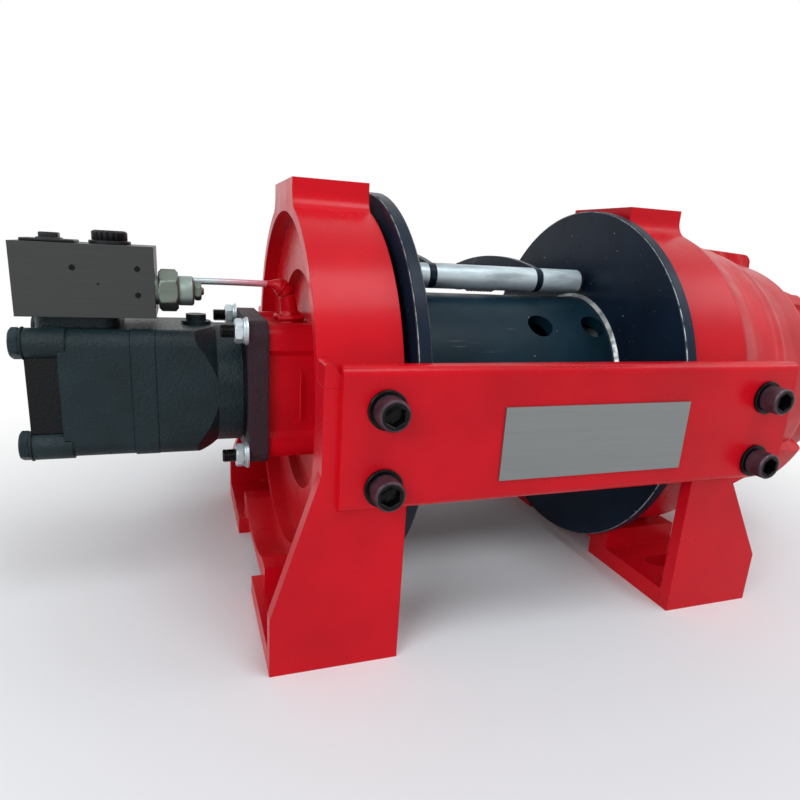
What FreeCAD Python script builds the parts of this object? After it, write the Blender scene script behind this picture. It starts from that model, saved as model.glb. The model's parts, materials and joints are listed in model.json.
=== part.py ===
import FreeCAD, Part
import math
import os
import Sketcher
from FreeCAD import Vector, Rotation

# A hydraulic rope winch on two welded brackets, in millimetres, +Z up.
# X runs along the drum axis with the motor at -X, the front is at -Y, and the
# origin is the centre of the four feet on the mounting plane.

os.makedirs("parts", exist_ok=True)
doc = FreeCAD.newDocument("HydraulicWinch")

# Driving dimensions
TABLE = [
    ("ring_radius", 170, "outer radius of a bracket ring"),
    ("ring_ground", 25, "underside of a ring above the mounting plane"),
    ("ring_wall", 10, "wall of a bracket ring"),
    ("ring_width", 68, "width of the left bracket ring"),
    ("right_width", 64, "width of the right bracket ring"),
    ("web_inset", 15.5, "ring end face to web"),
    ("web_thick", 22, "web of a bracket ring"),
    ("recess_radius", 108, "round recess in the web behind the motor hub"),
    ("recess_depth", 10, "depth of that recess"),
    ("boss_radius", 74, "bearing boss on the web"),
    ("boss_flare", 8, "boss wider at its web"),
    ("lug_half", 48, "half depth of a top lug"),
    ("lug_rise", 16, "top of a lug above its ring"),
    ("lug_sink", 20, "foot of a lug below the top of its ring"),
    ("lug_flare", 13, "lug wider at its root on the ring"),
    ("lug_root", 11.5, "root of that flare below the top of the ring"),
    ("lug_blend_rise", 17, "height of the flare"),
    ("lug_blend", 17.5, "radius of the flare"),
    ("rope_space", 242, "clear width between the drum flanges"),
    ("barrel_radius", 90, "outer radius of the drum barrel"),
    ("barrel_wall", 12, "wall of the drum barrel"),
    ("flange_over", 12, "drum flange beyond the ring radius"),
    ("flange_thick", 12, "thickness of a drum flange"),
    ("flange_edge", 1.5, "bevel on a flange rim"),
    ("weld_size", 4, "fillet weld between barrel and flange"),
    ("journal_radius", 50, "radius of the drum journals"),
    ("journal_length", 30, "length of a journal beyond its flange"),
    ("running_gap", 0.05, "radial clearance of a running fit"),
    ("anchor_radius", 13.5, "radius of a rope anchor hole"),
    ("anchor_inner", 41, "first anchor hole along the drum axis"),
    ("anchor_outer", 103.5, "second anchor hole along the drum axis"),
    ("anchor_angle", 47, "anchor holes above the front, in degrees"),
    ("side_gap", 7, "drum flange to bracket"),
    ("foot_reach", 37, "left foot beyond its ring"),
    ("foot_reach_right", 34, "right foot beyond its ring"),
    ("foot_step", 50, "height of the upright outer edge of a leg"),
    ("leg_slope_top", 165, "height where the left leg meets its ring width"),
    ("leg_neck", 13, "right leg inside its ring width under the tie channel"),
    ("leg_ear", 16, "right leg beyond its ring behind the tie channel"),
    ("ear_drop", 7, "lower edge of that ear under the tie channel"),
    ("ear_corner", 5, "cut corner of that ear"),
    ("leg_thick", 12, "leg plate"),
    ("leg_top", 36, "leg top above the drum axis"),
    ("pad_depth", 57, "solid pad between ring and leg"),
    ("pad_low", 50, "lower end of that pad below the drum axis"),
    ("tie_gap", 5.5, "drum flange to tie channel"),
    ("tie_thick", 8, "tie channel plate"),
    ("tie_top", 52, "tie channel top above the drum axis"),
    ("tie_bottom", 58, "tie channel bottom below the drum axis"),
    ("tie_lip", 5.5, "lip of the tie channel behind its plate"),
    ("tie_bend", 7, "outer bend of the tie channel"),
    ("tie_left", 196, "left end of a tie channel"),
    ("tie_right", 231, "right end of a tie channel"),
    ("base_thick", 18, "foot plate"),
    ("foot_inner", 64, "inner edge of a foot from the middle"),
    ("bridge_half", 91, "half depth of the raised bridge"),
    ("bridge_rise", 22, "rise of the bridge above the foot plate"),
    ("bridge_waist", 9, "bridge set back from the foot edge"),
    ("slot_radius", 11, "foot slot half width"),
    ("slot_length", 20, "foot slot centre distance"),
    ("slot_along", 186, "foot slots from the middle along the drum axis"),
    ("slot_across", 128, "foot slots from the middle across it"),
    ("screw_left", 163, "left tie screws from the middle"),
    ("screw_right", 198, "right tie screws from the middle"),
    ("screw_upper", 21, "upper tie screws above the drum axis"),
    ("screw_lower", 39, "lower tie screws below the drum axis"),
    ("screw_radius", 8, "tie screw shank"),
    ("screw_head_radius", 12, "tie screw head"),
    ("screw_head", 16, "height of a tie screw head"),
    ("screw_spare", 1, "tie screw end inside the leg plate"),
    ("screw_play", 0.5, "radial clearance of the screws in the tie channels"),
    ("socket_radius", 8, "corner radius of the hexagon socket"),
    ("socket_depth", 9, "depth of the hexagon socket"),
    ("washer_radius", 15, "tie screw washer"),
    ("washer_thick", 3, "thickness of that washer"),
    ("plate_left", -67, "left edge of the data plate"),
    ("plate_width", 178, "width of the data plate"),
    ("plate_low", -40, "lower edge of the data plate from the drum axis"),
    ("plate_height", 60, "height of the data plate"),
    ("plate_thick", 1.5, "thickness of the data plate"),
    ("hub_half", 62, "half width of the motor adapter hub"),
    ("hub_corner", 14, "corner radius of that hub"),
    ("hub_length", 21, "hub beyond the bracket ring"),
    ("hub_waist", 4, "hub sides set back between its corner pads"),
    ("hub_pad", 22, "width of a corner pad of the hub"),
    ("hub_slope", 5, "slope between a pad and the set back side"),
    ("mount_half", 65, "half width of the motor flange"),
    ("mount_corner", 14, "corner radius of the motor flange"),
    ("mount_thick", 17.5, "thickness of the motor flange"),
    ("stud_half", 56.5, "studs from the motor axis each way"),
    ("stud_radius", 6, "motor stud"),
    ("stud_out", 11.5, "stud beyond its nut"),
    ("nut_radius", 11, "corner radius of a stud nut"),
    ("nut_thick", 7.2, "thickness of a stud nut"),
    ("nut_washer", 4, "washers under a stud nut"),
    ("nut_washer_radius", 12, "radius of those washers"),
    ("neck_radius", 56, "round neck of the motor"),
    ("neck_length", 25, "length of that neck"),
    ("neck_groove", 3, "groove between neck and flange"),
    ("motor_half", 55, "half width of the motor body"),
    ("motor_corner", 14, "corner of the motor body"),
    ("taper_length", 20, "motor neck to full body"),
    ("taper_rise", 17, "rise of the taper over its length"),
    ("front_length", 30.5, "full part of the motor front housing"),
    ("plug_inset", 16, "drain plug from the neck"),
    ("plug_radius", 9, "radius of the drain plug"),
    ("plug_height", 6, "height of its head"),
    ("plug_seat_radius", 13, "seat of the drain plug"),
    ("plug_seat", 3, "height of that seat"),
    ("gerotor_length", 19.5, "motor gear ring"),
    ("gerotor_over", 0.3, "gear ring proud of the housings"),
    ("rear_length", 54.5, "square part of the motor rear housing"),
    ("rear_half", 54.5, "half width of the motor rear housing"),
    ("core_half", 49.5, "half width of the end of the rear housing"),
    ("core_corner", 10, "corner of that end"),
    ("core_length", 25, "length of that end"),
    ("end_bolt_radius", 12.5, "end bolt bosses"),
    ("end_bolt_half", 43, "end bolt bosses from the motor axis"),
    ("end_bolt_buried", 5, "end bolt boss inside the square part"),
    ("end_head_radius", 13.5, "end bolt heads"),
    ("end_head", 9.5, "height of an end bolt head"),
    ("riser_length", 65, "port riser on the motor"),
    ("riser_half", 36, "half depth of that riser"),
    ("riser_corner", 14, "corner of that riser"),
    ("riser_inset", 10, "riser from the left face of the block"),
    ("riser_height", 26, "height of the riser under the block"),
    ("block_over", 4.5, "valve block beyond the rear housing"),
    ("block_length", 105, "valve block along the axis"),
    ("block_depth", 80, "valve block depth"),
    ("block_front", 45, "valve block front from the motor axis"),
    ("block_lift", 10, "valve block bottom above the rear housing"),
    ("block_height", 58, "valve block height"),
    ("cover_inset", 6.5, "cover plate from the left face of the block"),
    ("cover_width", 39, "cover plate along the axis"),
    ("cover_depth", 34, "cover plate depth"),
    ("cover_back", 7, "cover plate from the front face of the block"),
    ("cover_thick", 2.5, "thickness of the cover plate"),
    ("knob_side", 14.5, "square knob on the cover plate"),
    ("knob_height", 7.5, "top of the knob above the block"),
    ("knob_inset", 12, "knob from the left edge of the cover plate"),
    ("knob_back", 10, "knob from the front edge of the cover plate"),
    ("rib_at", 70, "ribbed cap from the left face of the block"),
    ("rib_back", 31, "ribbed cap from the front face of the block"),
    ("rib_radius", 14, "ribbed cap"),
    ("rib_foot_radius", 16.5, "foot of the ribbed cap"),
    ("rib_foot", 3, "height of that foot"),
    ("rib_height", 11.5, "height of the ribbed cap"),
    ("rib_flute", 1.6, "radius of a flute in that cap"),
    ("port_height", 22.5, "port fitting above the block bottom"),
    ("port_depth", 30, "port fitting in front of the motor axis"),
    ("port_collar_radius", 12.5, "collar of the port fitting"),
    ("port_collar", 2.5, "length of that collar"),
    ("port_hex_radius", 18.3, "corner radius of the large hexagon"),
    ("port_hex", 16, "length of the large hexagon"),
    ("port_sleeve_radius", 12.5, "sleeve of the port fitting"),
    ("port_sleeve", 13, "length of that sleeve"),
    ("port_nut_radius", 8.5, "corner radius of the small hexagon"),
    ("port_nut", 6, "length of the small hexagon"),
    ("port_tip_radius", 3.5, "tip of the port fitting"),
    ("port_tip", 2, "length of that tip"),
    ("tube_height", 28.5, "brake tube above the block bottom"),
    ("tube_radius", 3, "brake tube"),
    ("elbow_in", 2.5, "brake elbow inside the end of the bracket ring"),
    ("elbow_radius", 8, "upright of the brake elbow"),
    ("elbow_over", 3.5, "top of that upright above the brake tube"),
    ("elbow_cup", 14, "length of the cup that takes the tube"),
    ("elbow_cup_radius", 5, "radius of that cup"),
    ("shoulder_length", 51, "gearbox shoulder beyond its ring"),
    ("shoulder_less", 10, "end of the shoulder below the ring radius"),
    ("shoulder_crown", 2.5, "crown of the shoulder over its middle"),
    ("gear_length", 26, "large part of the gearbox housing"),
    ("gear_less", 18, "end of that part below the ring radius"),
    ("gear_small_less", 34, "small part below the ring radius"),
    ("gear_small_length", 59, "small part of the gearbox housing"),
    ("gear_round", 4, "rounded steps of the housing"),
    ("ear_less", 20, "top of a gearbox ear below the ring radius"),
    ("ear_deep", 16, "underside of an ear below the small part"),
    ("ear_half", 20, "half width of an ear at its end"),
    ("ear_flare", 8, "ear wider at its start"),
    ("ear_inset", 7, "start of an ear beyond the shoulder"),
    ("ear_out", 8, "ear beyond the gearbox housing"),
    ("ear_round", 8, "rounding of an ear end"),
    ("cover_less", 58, "gearbox end cover below the ring radius"),
    ("cover_taper", 5, "taper of that cover"),
    ("cover_bevel", 14, "bevelled end of that cover"),
    ("cover_length", 76, "length of that cover"),
    ("cover_lug_less", 50, "lugs on the cover below the ring radius"),
    ("cover_lug_half", 11, "half width of such a lug"),
    ("cover_lug_length", 58, "length of such a lug"),
    ("cover_lug_deep", 20, "lug inside the cover"),
    ("cover_lug_round", 8, "rounding of its end"),
    ("cap_radius", 62, "cap on the gearbox cover"),
    ("cap_length", 12, "cap beyond the gearbox cover"),
    ("cap_bevel", 4, "bevel of that cap"),
    ("pivot_over", 10, "tensioner shaft behind the ring radius"),
    ("pivot_z", 100, "tensioner shaft above the drum axis"),
    ("shaft_radius", 11, "tensioner shaft"),
    ("roller_y", -8, "roller axle from the drum axis"),
    ("roller_clear", 5, "roller above the bare barrel"),
    ("roller_radius", 12.5, "roller sleeves"),
    ("axle_radius", 7, "roller axle"),
    ("collar_radius", 11.5, "collar at each end of the roller axle"),
    ("collar_thick", 4, "thickness of such a collar"),
    ("sleeve_end", 112, "outer end of the roller sleeves"),
    ("sleeve_gap", 1, "sleeve to arm"),
    ("arm_place", 61, "arms from the middle"),
    ("arm_thick", 6, "thickness of an arm"),
    ("arm_boss", 18, "arm boss at the shaft"),
    ("arm_eye", 12.5, "arm eye at the roller axle"),
    ("arm_top_curve", 420, "radius of the upper edge of an arm"),
    ("arm_low_curve", 235, "radius of the lower edge of an arm"),
    ("arm_tube_radius", 16, "tube that joins the arms on the shaft"),
    ("spring_radius", 20, "outer radius of the tensioner springs"),
    ("spring_gap", 5, "arm to spring"),
    ("spring_length", 44, "length of a tensioner spring"),
    ("shaft_lug_thick", 12, "thickness of a tensioner shaft lug"),
    ("root_low_in", 75, "lower root of a shaft lug inside the back of the ring"),
    ("root_low_up", 90, "lower root of a shaft lug above the winch axis"),
    ("root_high_in", 100, "upper root of a shaft lug inside the back of the ring"),
    ("root_high_up", 139, "upper root of a shaft lug above the winch axis"),
    ("overcut", 1, "tools beyond the faces that they cut"),
]

sheet = doc.addObject("Spreadsheet::Sheet", "Sizes")
for row, (name, number, note) in enumerate(TABLE, start=1):
    sheet.set("A%d" % row, str(number))
    sheet.set("B%d" % row, note)
    sheet.setAlias("A%d" % row, name)
doc.recompute()

ALONG = Vector(1, 0, 0)
FRONT = Vector(0, -1, 0)
BACK = Vector(0, 1, 0)
UP = Vector(0, 0, 1)

# Turn, in degrees, that puts a flat of a hexagon uppermost
FLAT_UP = 30


class Size:
    """A length from the sheet, or a sum of lengths, with the formula that gives it."""

    def __init__(self, number, formula):
        self.number = float(number)
        self.formula = formula

    def join(self, other, sign, number):
        return Size(number, "(%s %s %s)" % (self.formula, sign, as_size(other).formula))

    def __add__(self, other):
        return self.join(other, "+", self.number + as_size(other).number)

    def __sub__(self, other):
        return self.join(other, "-", self.number - as_size(other).number)

    def __mul__(self, other):
        return self.join(other, "*", self.number * as_size(other).number)

    def __neg__(self):
        return Size(-self.number, "(-1 * %s)" % self.formula)


def as_size(value):
    if isinstance(value, Size):
        return value
    return Size(value, "(%s)" % repr(float(value)))


def size(name):
    """The named cell of the sheet."""
    return Size(sheet.get(name), "Sizes.%s" % name)


ZERO = as_size(0)
nodes = []


def bind(item, prop, value):
    item.setExpression(prop, as_size(value).formula)


def place(item, x=ZERO, y=ZERO, z=ZERO):
    for axis, value in (("x", x), ("y", y), ("z", z)):
        bind(item, "Placement.Base." + axis, value)


def keep(item, label):
    """Makes an object a sub-part under its own name."""
    item.Label = label
    nodes.append(item)
    return item


def new_body(label):
    return doc.addObject("PartDesign::Body", label)


def plane_of(body, role):
    for item in body.Origin.OriginFeatures:
        if item.Role == role:
            return item


def new_sketch(body, role, name, offset=None):
    sketch = body.newObject("Sketcher::SketchObject", name)
    sketch.AttachmentSupport = [(plane_of(body, role), "")]
    sketch.MapMode = "FlatFace"
    if offset is not None:
        bind(sketch, "AttachmentOffset.Base.z", offset)
    return sketch


def pin(sketch, geometry, position, x, y):
    """Ties one sketch point to formulas for both coordinates."""
    for kind, value in (("DistanceX", as_size(x)), ("DistanceY", as_size(y))):
        index = sketch.addConstraint(Sketcher.Constraint(kind, geometry, position, value.number))
        sketch.setExpression("Constraints[%d]" % index, value.formula)


def pin_radius(sketch, geometry, radius):
    number = sketch.addConstraint(Sketcher.Constraint("Radius", geometry, radius.number))
    sketch.setExpression("Constraints[%d]" % number, radius.formula)


def arc_between(start, stop, bend):
    """The arc from start to stop; a positive bend turns left on the way, a negative one right."""
    chord = stop - start
    side = Vector(-chord.y, chord.x, 0).normalize() * math.copysign(1, bend)
    centre = (start + stop) * 0.5 + side * math.sqrt(bend ** 2 - chord.Length ** 2 / 4)
    angles = [math.atan2(point.y - centre.y, point.x - centre.x) for point in (start, stop)]
    if bend < 0:
        angles.reverse()
    return Part.ArcOfCircle(Part.Circle(centre, UP, abs(bend)), angles[0], angles[1])


def outline(sketch, corners, bends=None):
    """A closed outline; each bend is the radius of the side after its corner, 0 for straight."""
    count = len(corners)
    first = sketch.GeometryCount
    bends = [as_size(bend) for bend in bends or [0] * count]
    points = [Vector(as_size(x).number, as_size(y).number, 0) for x, y in corners]
    for index, bend in enumerate(bends):
        stop = points[(index + 1) % count]
        if bend.number:
            sketch.addGeometry(arc_between(points[index], stop, bend.number), False)
        else:
            sketch.addGeometry(Part.LineSegment(points[index], stop), False)
    for index in range(count):
        following = (index + 1) % count
        finish = 1 if bends[index].number < 0 else 2
        begin = 2 if bends[following].number < 0 else 1
        joint = Sketcher.Constraint("Coincident", first + index, finish, first + following, begin)
        sketch.addConstraint(joint)
    for index, (x, y) in enumerate(corners):
        pin(sketch, first + index, 2 if bends[index].number < 0 else 1, x, y)
    for index, bend in enumerate(bends):
        if bend.number:
            pin_radius(sketch, first + index, bend if bend.number > 0 else -bend)


def ring(sketch, x, y, radius):
    """A circle with its centre and radius tied to formulas."""
    radius = as_size(radius)
    centre = Vector(as_size(x).number, as_size(y).number, 0)
    index = sketch.addGeometry(Part.Circle(centre, UP, radius.number), False)
    pin(sketch, index, 3, x, y)
    pin_radius(sketch, index, radius)


def long_hole(sketch, x, y, length, radius):
    """A slot along the sketch's X with round ends, its middle at x, y."""
    half = length * 0.5
    outline(sketch, [
        (x - half, y - radius),
        (x + half, y - radius),
        (x + half + radius, y),
        (x + half, y + radius),
        (x - half, y + radius),
        (x - half - radius, y),
    ], [0, radius, radius, 0, radius, radius])


def pad(body, sketch, length, reverse=False, middle=False):
    feature = body.newObject("PartDesign::Pad", "Pad")
    feature.Profile = sketch
    bind(feature, "Length", length)
    feature.Reversed = reverse
    feature.Midplane = middle
    doc.recompute()
    return feature


def pocket(body, sketch, length, reverse=False, middle=False):
    before = body.Shape.Volume
    feature = body.newObject("PartDesign::Pocket", "Pocket")
    feature.Profile = sketch
    bind(feature, "Length", length)
    feature.Reversed = reverse
    feature.Midplane = middle
    doc.recompute()
    if body.Shape.Volume > before - 1:
        raise RuntimeError("a pocket of %s cuts nothing" % body.Label)
    return feature


def rounding(body, test, radius):
    """Rounds the straight edges whose middle and length pass the test."""
    base = body.Tip
    names = []
    for index, item in enumerate(body.Shape.Edges, start=1):
        if item.Curve.TypeId == "Part::GeomLine" and test(item.CenterOfMass, item.Length):
            names.append("Edge%d" % index)
    feature = body.newObject("PartDesign::Fillet", "Rounding")
    feature.Base = (base, names)
    bind(feature, "Radius", radius)
    doc.recompute()
    return feature


def turned(label, corners):
    """A body revolved about the drum axis from a profile of (x, radius) corners."""
    body = new_body(label)
    sketch = new_sketch(body, "XZ_Plane", "Profile")
    outline(sketch, corners)
    feature = body.newObject("PartDesign::Revolution", "Turned")
    feature.Profile = sketch
    feature.ReferenceAxis = (sketch, ["H_Axis"])
    feature.Angle = 360
    place(body, z=axis_height)
    doc.recompute()
    return body


def square_block(label, half, corner, right, length):
    """A square prism along X with rounded long edges; right is its +X face."""
    body = new_body(label)
    sketch = new_sketch(body, "YZ_Plane", "Square", right)
    outline(sketch, [(-half, -half), (half, -half), (half, half), (-half, half)])
    pad(body, sketch, length, reverse=True)
    rounding(body, lambda middle, reach: reach > length.number - 0.1
             and abs(middle.y) > half.number - 0.1 and abs(middle.z) > half.number - 0.1, corner)
    place(body, z=axis_height)
    return body


def spoke(label, corners, low, high, angle, end, radius):
    """A block at the given angle round the drum axis, from one radius to another, its end rounded."""
    body = new_body(label)
    sketch = new_sketch(body, "XY_Plane", "Spoke", low)
    outline(sketch, corners)
    pad(body, sketch, high - low)
    rounding(body, lambda middle, reach: middle.x > end.number - 0.1, radius)
    body.Placement.Rotation = Rotation(ALONG, angle - 90)
    place(body, z=axis_height)
    return body


def box(label, x, y, z, length, depth, height):
    item = doc.addObject("Part::Box", label)
    bind(item, "Length", length)
    bind(item, "Width", depth)
    bind(item, "Height", height)
    place(item, x, y, z)
    return item


def rod(label, radius, length, x, y, z, axis=ALONG):
    item = doc.addObject("Part::Cylinder", label)
    item.Placement.Rotation = Rotation(UP, axis)
    bind(item, "Radius", radius)
    bind(item, "Height", length)
    place(item, x, y, z)
    return item


def hexagon(label, radius, length, x, y, z, axis, turn=0):
    """A hexagonal prism along the axis, turned about it by the given angle."""
    item = doc.addObject("Part::Prism", label)
    item.Polygon = 6
    item.Placement.Rotation = Rotation(axis, turn) * Rotation(UP, axis)
    bind(item, "Circumradius", radius)
    bind(item, "Height", length)
    place(item, x, y, z)
    return item


def cut(label, base, tool):
    item = doc.addObject("Part::Cut", label)
    item.Base = base
    item.Tool = tool
    return item


def fuse(label, shapes):
    item = doc.addObject("Part::MultiFuse", label)
    item.Shapes = shapes
    item.Refine = True
    return item


def group(label, shapes):
    """Like pieces on one body, kept as separate solids of one node."""
    item = doc.addObject("Part::Compound", label)
    item.Links = shapes
    return keep(item, label)


def corners_of(half):
    """The four corners of a square about the drum axis."""
    return [(half * a, half * b) for a in (-1, 1) for b in (-1, 1)]


# Places shared by several pieces, as distances from the middle of the drum
overcut = size("overcut")
ring_radius = size("ring_radius")
axis_height = ring_radius + size("ring_ground")
flange_radius = ring_radius + size("flange_over")
flange_inner = size("rope_space") * 0.5
flange_outer = flange_inner + size("flange_thick")
bracket_inner = flange_outer + size("side_gap")
ring_bore = ring_radius - size("ring_wall")
bearing_radius = size("journal_radius") + size("running_gap")
tie_back = flange_radius + size("tie_gap")
tie_front = tie_back + size("tie_thick")
leg_back = tie_back - size("leg_thick")
tie_upper = axis_height + size("tie_top")
tie_lower = axis_height - size("tie_bottom")
SIDES = (
    ("left", -1, size("ring_width"), size("foot_reach")),
    ("right", 1, size("right_width"), size("foot_reach_right")),
)
left_end = bracket_inner + size("ring_width")
right_end = bracket_inner + size("right_width")
left_recess = left_end - size("web_inset") - size("recess_depth")
right_web = right_end - size("web_inset")
right_recess = right_web - size("recess_depth")

# Drum: barrel with two anchor holes, and two flanges with their welds and journals
barrel = new_body("barrel")
sketch = new_sketch(barrel, "YZ_Plane", "BarrelSection")
ring(sketch, 0, 0, size("barrel_radius"))
ring(sketch, 0, 0, size("barrel_radius") - size("barrel_wall"))
pad(barrel, sketch, size("rope_space"), middle=True)
holes = new_sketch(barrel, "XY_Plane", "AnchorHoles")
ring(holes, size("anchor_inner"), 0, size("anchor_radius"))
ring(holes, size("anchor_outer"), 0, size("anchor_radius"))
pocket(barrel, holes, size("barrel_radius") + overcut, reverse=True)
barrel.Placement.Rotation = Rotation(ALONG, 90 - sheet.anchor_angle)
barrel.setExpression("Placement.Rotation.Angle", "90 - Sizes.anchor_angle")
place(barrel, z=axis_height)
keep(barrel, "drum_barrel")

edge = size("flange_edge")
weld = size("weld_size")
journal_end = flange_outer + size("journal_length")
for label, side in (("drum_left_flange", -1), ("drum_right_flange", 1)):
    keep(turned(label, [
        (flange_inner * side, 0),
        (flange_inner * side, size("barrel_radius")),
        ((flange_inner - weld) * side, size("barrel_radius")),
        (flange_inner * side, size("barrel_radius") + weld),
        (flange_inner * side, flange_radius - edge),
        ((flange_inner + edge) * side, flange_radius),
        ((flange_outer - edge) * side, flange_radius),
        (flange_outer * side, flange_radius - edge),
        (flange_outer * side, size("journal_radius")),
        (journal_end * side, size("journal_radius")),
        (journal_end * side, 0),
    ]), label)

# Bracket rings: turned ring with its web and bearing boss, a top lug and side pads
ring_seat = rod("RingSeat", ring_radius, (left_end + size("foot_reach")) * 2,
                -left_end - size("foot_reach"), ZERO, axis_height)
ring_top = axis_height + ring_radius
lug_top = ring_top + size("lug_rise")
lug_root = ring_top - size("lug_root")
lug_base = ring_top - size("lug_sink")
root_half = size("lug_half") + size("lug_flare")
for name, side, width, reach in SIDES:
    ring_end = bracket_inner + width
    web_outer = ring_end - size("web_inset")
    web_inner = web_outer - size("web_thick")
    recess_face = web_outer - size("recess_depth")
    hollow = turned(name + "_ring", [
        (bracket_inner * side, bearing_radius),
        (bracket_inner * side, size("boss_radius")),
        (web_inner * side, size("boss_radius") + size("boss_flare")),
        (web_inner * side, ring_bore),
        (bracket_inner * side, ring_bore),
        (bracket_inner * side, ring_radius),
        (ring_end * side, ring_radius),
        (ring_end * side, ring_bore),
        (web_outer * side, ring_bore),
        (web_outer * side, size("recess_radius")),
        (recess_face * side, size("recess_radius")),
        (recess_face * side, bearing_radius),
    ])
    start = bracket_inner if side > 0 else -ring_end
    pad_base = axis_height - size("pad_low")
    pad_height = size("leg_top") + size("pad_low")
    lug = new_body(name + "_lug")
    sketch = new_sketch(lug, "YZ_Plane", "LugOutline", start)
    outline(sketch, [
        (-size("lug_half"), lug_top),
        (size("lug_half"), lug_top),
        (size("lug_half"), lug_root + size("lug_blend_rise")),
        (root_half, lug_root),
        (root_half, lug_base),
        (-root_half, lug_base),
        (-root_half, lug_root),
        (-size("lug_half"), lug_root + size("lug_blend_rise")),
    ], [0, 0, size("lug_blend"), 0, 0, 0, size("lug_blend"), 0])
    pad(lug, sketch, width)
    lumps = fuse(name + "_lumps", [
        lug,
        box(name + "_front_pad", start, -leg_back, pad_base, width, size("pad_depth"), pad_height),
        box(name + "_rear_pad", start, leg_back - size("pad_depth"), pad_base,
            width, size("pad_depth"), pad_height),
    ])
    bore = rod(name + "_hollow", ring_bore, width, start, ZERO, axis_height)
    keep(fuse(name + "_housing", [hollow, cut(name + "_outer_lumps", lumps, bore)]), name + "_ring_housing")

# Leg plates, front and rear, with the sloping outer edge
for name, side, width, reach in SIDES:
    ring_end = bracket_inner + width
    corners = [
        (bracket_inner * side, ZERO),
        ((ring_end + reach) * side, ZERO),
        ((ring_end + reach) * side, size("foot_step")),
    ]
    upper = ring_end
    if name == "left":
        corners.append((ring_end * side, size("leg_slope_top")))
    else:
        upper = ring_end + size("leg_ear")
        corners.append((ring_end - size("leg_neck"), tie_lower - size("ear_drop")))
        corners.append((upper, tie_lower + size("ear_corner")))
    corners.append((upper * side, axis_height + size("leg_top")))
    corners.append((bracket_inner * side, axis_height + size("leg_top")))
    legs = []
    for end, sign in (("front", -1), ("rear", 1)):
        body = new_body("%s_%s_leg" % (name, end))
        sketch = new_sketch(body, "XZ_Plane", "LegOutline")
        outline(sketch, corners)
        pad(body, sketch, size("leg_thick"), reverse=sign > 0)
        place(body, y=leg_back * sign)
        holes = new_sketch(body, "XZ_Plane", "ScrewHoles")
        for height in (axis_height + size("screw_upper"), axis_height - size("screw_lower")):
            ring(holes, size("screw_" + name) * side, height, size("screw_radius"))
        pocket(body, holes, size("leg_thick") * 2 + overcut, middle=True)
        legs.append(body)
    group(name + "_leg_plates", legs)

# Base plates: two slotted feet joined by a raised bridge under the ring
thick = size("base_thick")
rise = thick + size("bridge_rise")
foot = size("foot_inner")
bridge = size("bridge_half")
for name, side, width, reach in SIDES:
    foot_outer = bracket_inner + width + reach
    body = new_body(name + "_feet")
    sketch = new_sketch(body, "YZ_Plane", "FeetProfile", bracket_inner * side)
    outline(sketch, [
        (-leg_back, 0),
        (-foot, 0),
        (-foot, thick),
        (foot, thick),
        (foot, 0),
        (leg_back, 0),
        (leg_back, thick),
        (bridge, thick),
        (bridge, rise),
        (-bridge, rise),
        (-bridge, thick),
        (-leg_back, thick),
    ])
    pad(body, sketch, width + reach, reverse=side < 0)
    waist = new_sketch(body, "XY_Plane", "Waist", thick)
    outline(waist, [
        ((foot_outer - size("bridge_waist")) * side, -bridge - overcut),
        ((foot_outer + overcut) * side, -bridge - overcut),
        ((foot_outer + overcut) * side, bridge + overcut),
        ((foot_outer - size("bridge_waist")) * side, bridge + overcut),
    ])
    pocket(body, waist, size("bridge_rise") + overcut, reverse=True)
    slots = new_sketch(body, "XY_Plane", "FootSlots")
    for sign in (-1, 1):
        long_hole(slots, size("slot_along") * side, size("slot_across") * sign,
                  size("slot_length"), size("slot_radius"))
    pocket(body, slots, thick + overcut, reverse=True)
    keep(cut(name + "_base", body, ring_seat), name + "_base_plate")

# Tie channels, front and rear, with bent edges that clear the drum flanges
lip_back = tie_back - size("tie_lip")
tie = new_body("front_tie")
sketch = new_sketch(tie, "YZ_Plane", "ChannelSection", -size("tie_left"))
outline(sketch, [
    (-tie_front, tie_lower),
    (-lip_back, tie_lower),
    (-lip_back, tie_lower + size("tie_thick")),
    (-tie_back, tie_lower + size("tie_thick")),
    (-tie_back, tie_upper - size("tie_thick")),
    (-lip_back, tie_upper - size("tie_thick")),
    (-lip_back, tie_upper),
    (-tie_front, tie_upper),
])
pad(tie, sketch, size("tie_left") + size("tie_right"))
rounding(tie, lambda middle, length: middle.y < 0.1 - tie_front.number
         and length > flange_outer.number, size("tie_bend"))
relief = new_sketch(tie, "XY_Plane", "LipRelief", tie_lower)
for near, far in ((-size("tie_left") - overcut, overcut - bracket_inner),
                  (bracket_inner - overcut, size("tie_right") + overcut)):
    outline(relief, [
        (near, -tie_back),
        (far, -tie_back),
        (far, overcut - lip_back),
        (near, overcut - lip_back),
    ])
pocket(tie, relief, size("tie_thick"), reverse=True)
holes = new_sketch(tie, "XZ_Plane", "ScrewHoles")
screw_hole = size("screw_radius") + size("screw_play")
screw_places = []
for across in (-size("screw_left"), size("screw_right")):
    for height in (axis_height + size("screw_upper"), axis_height - size("screw_lower")):
        screw_places.append((across, height))
        ring(holes, across, height, screw_hole)
pocket(tie, holes, (tie_front + overcut) * 2, middle=True)
keep(tie, "front_tie_channel")
rear_tie = doc.addObject("Part::Mirroring", "rear_tie")
rear_tie.Source = tie
rear_tie.Normal = BACK
keep(rear_tie, "rear_tie_channel")

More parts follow.
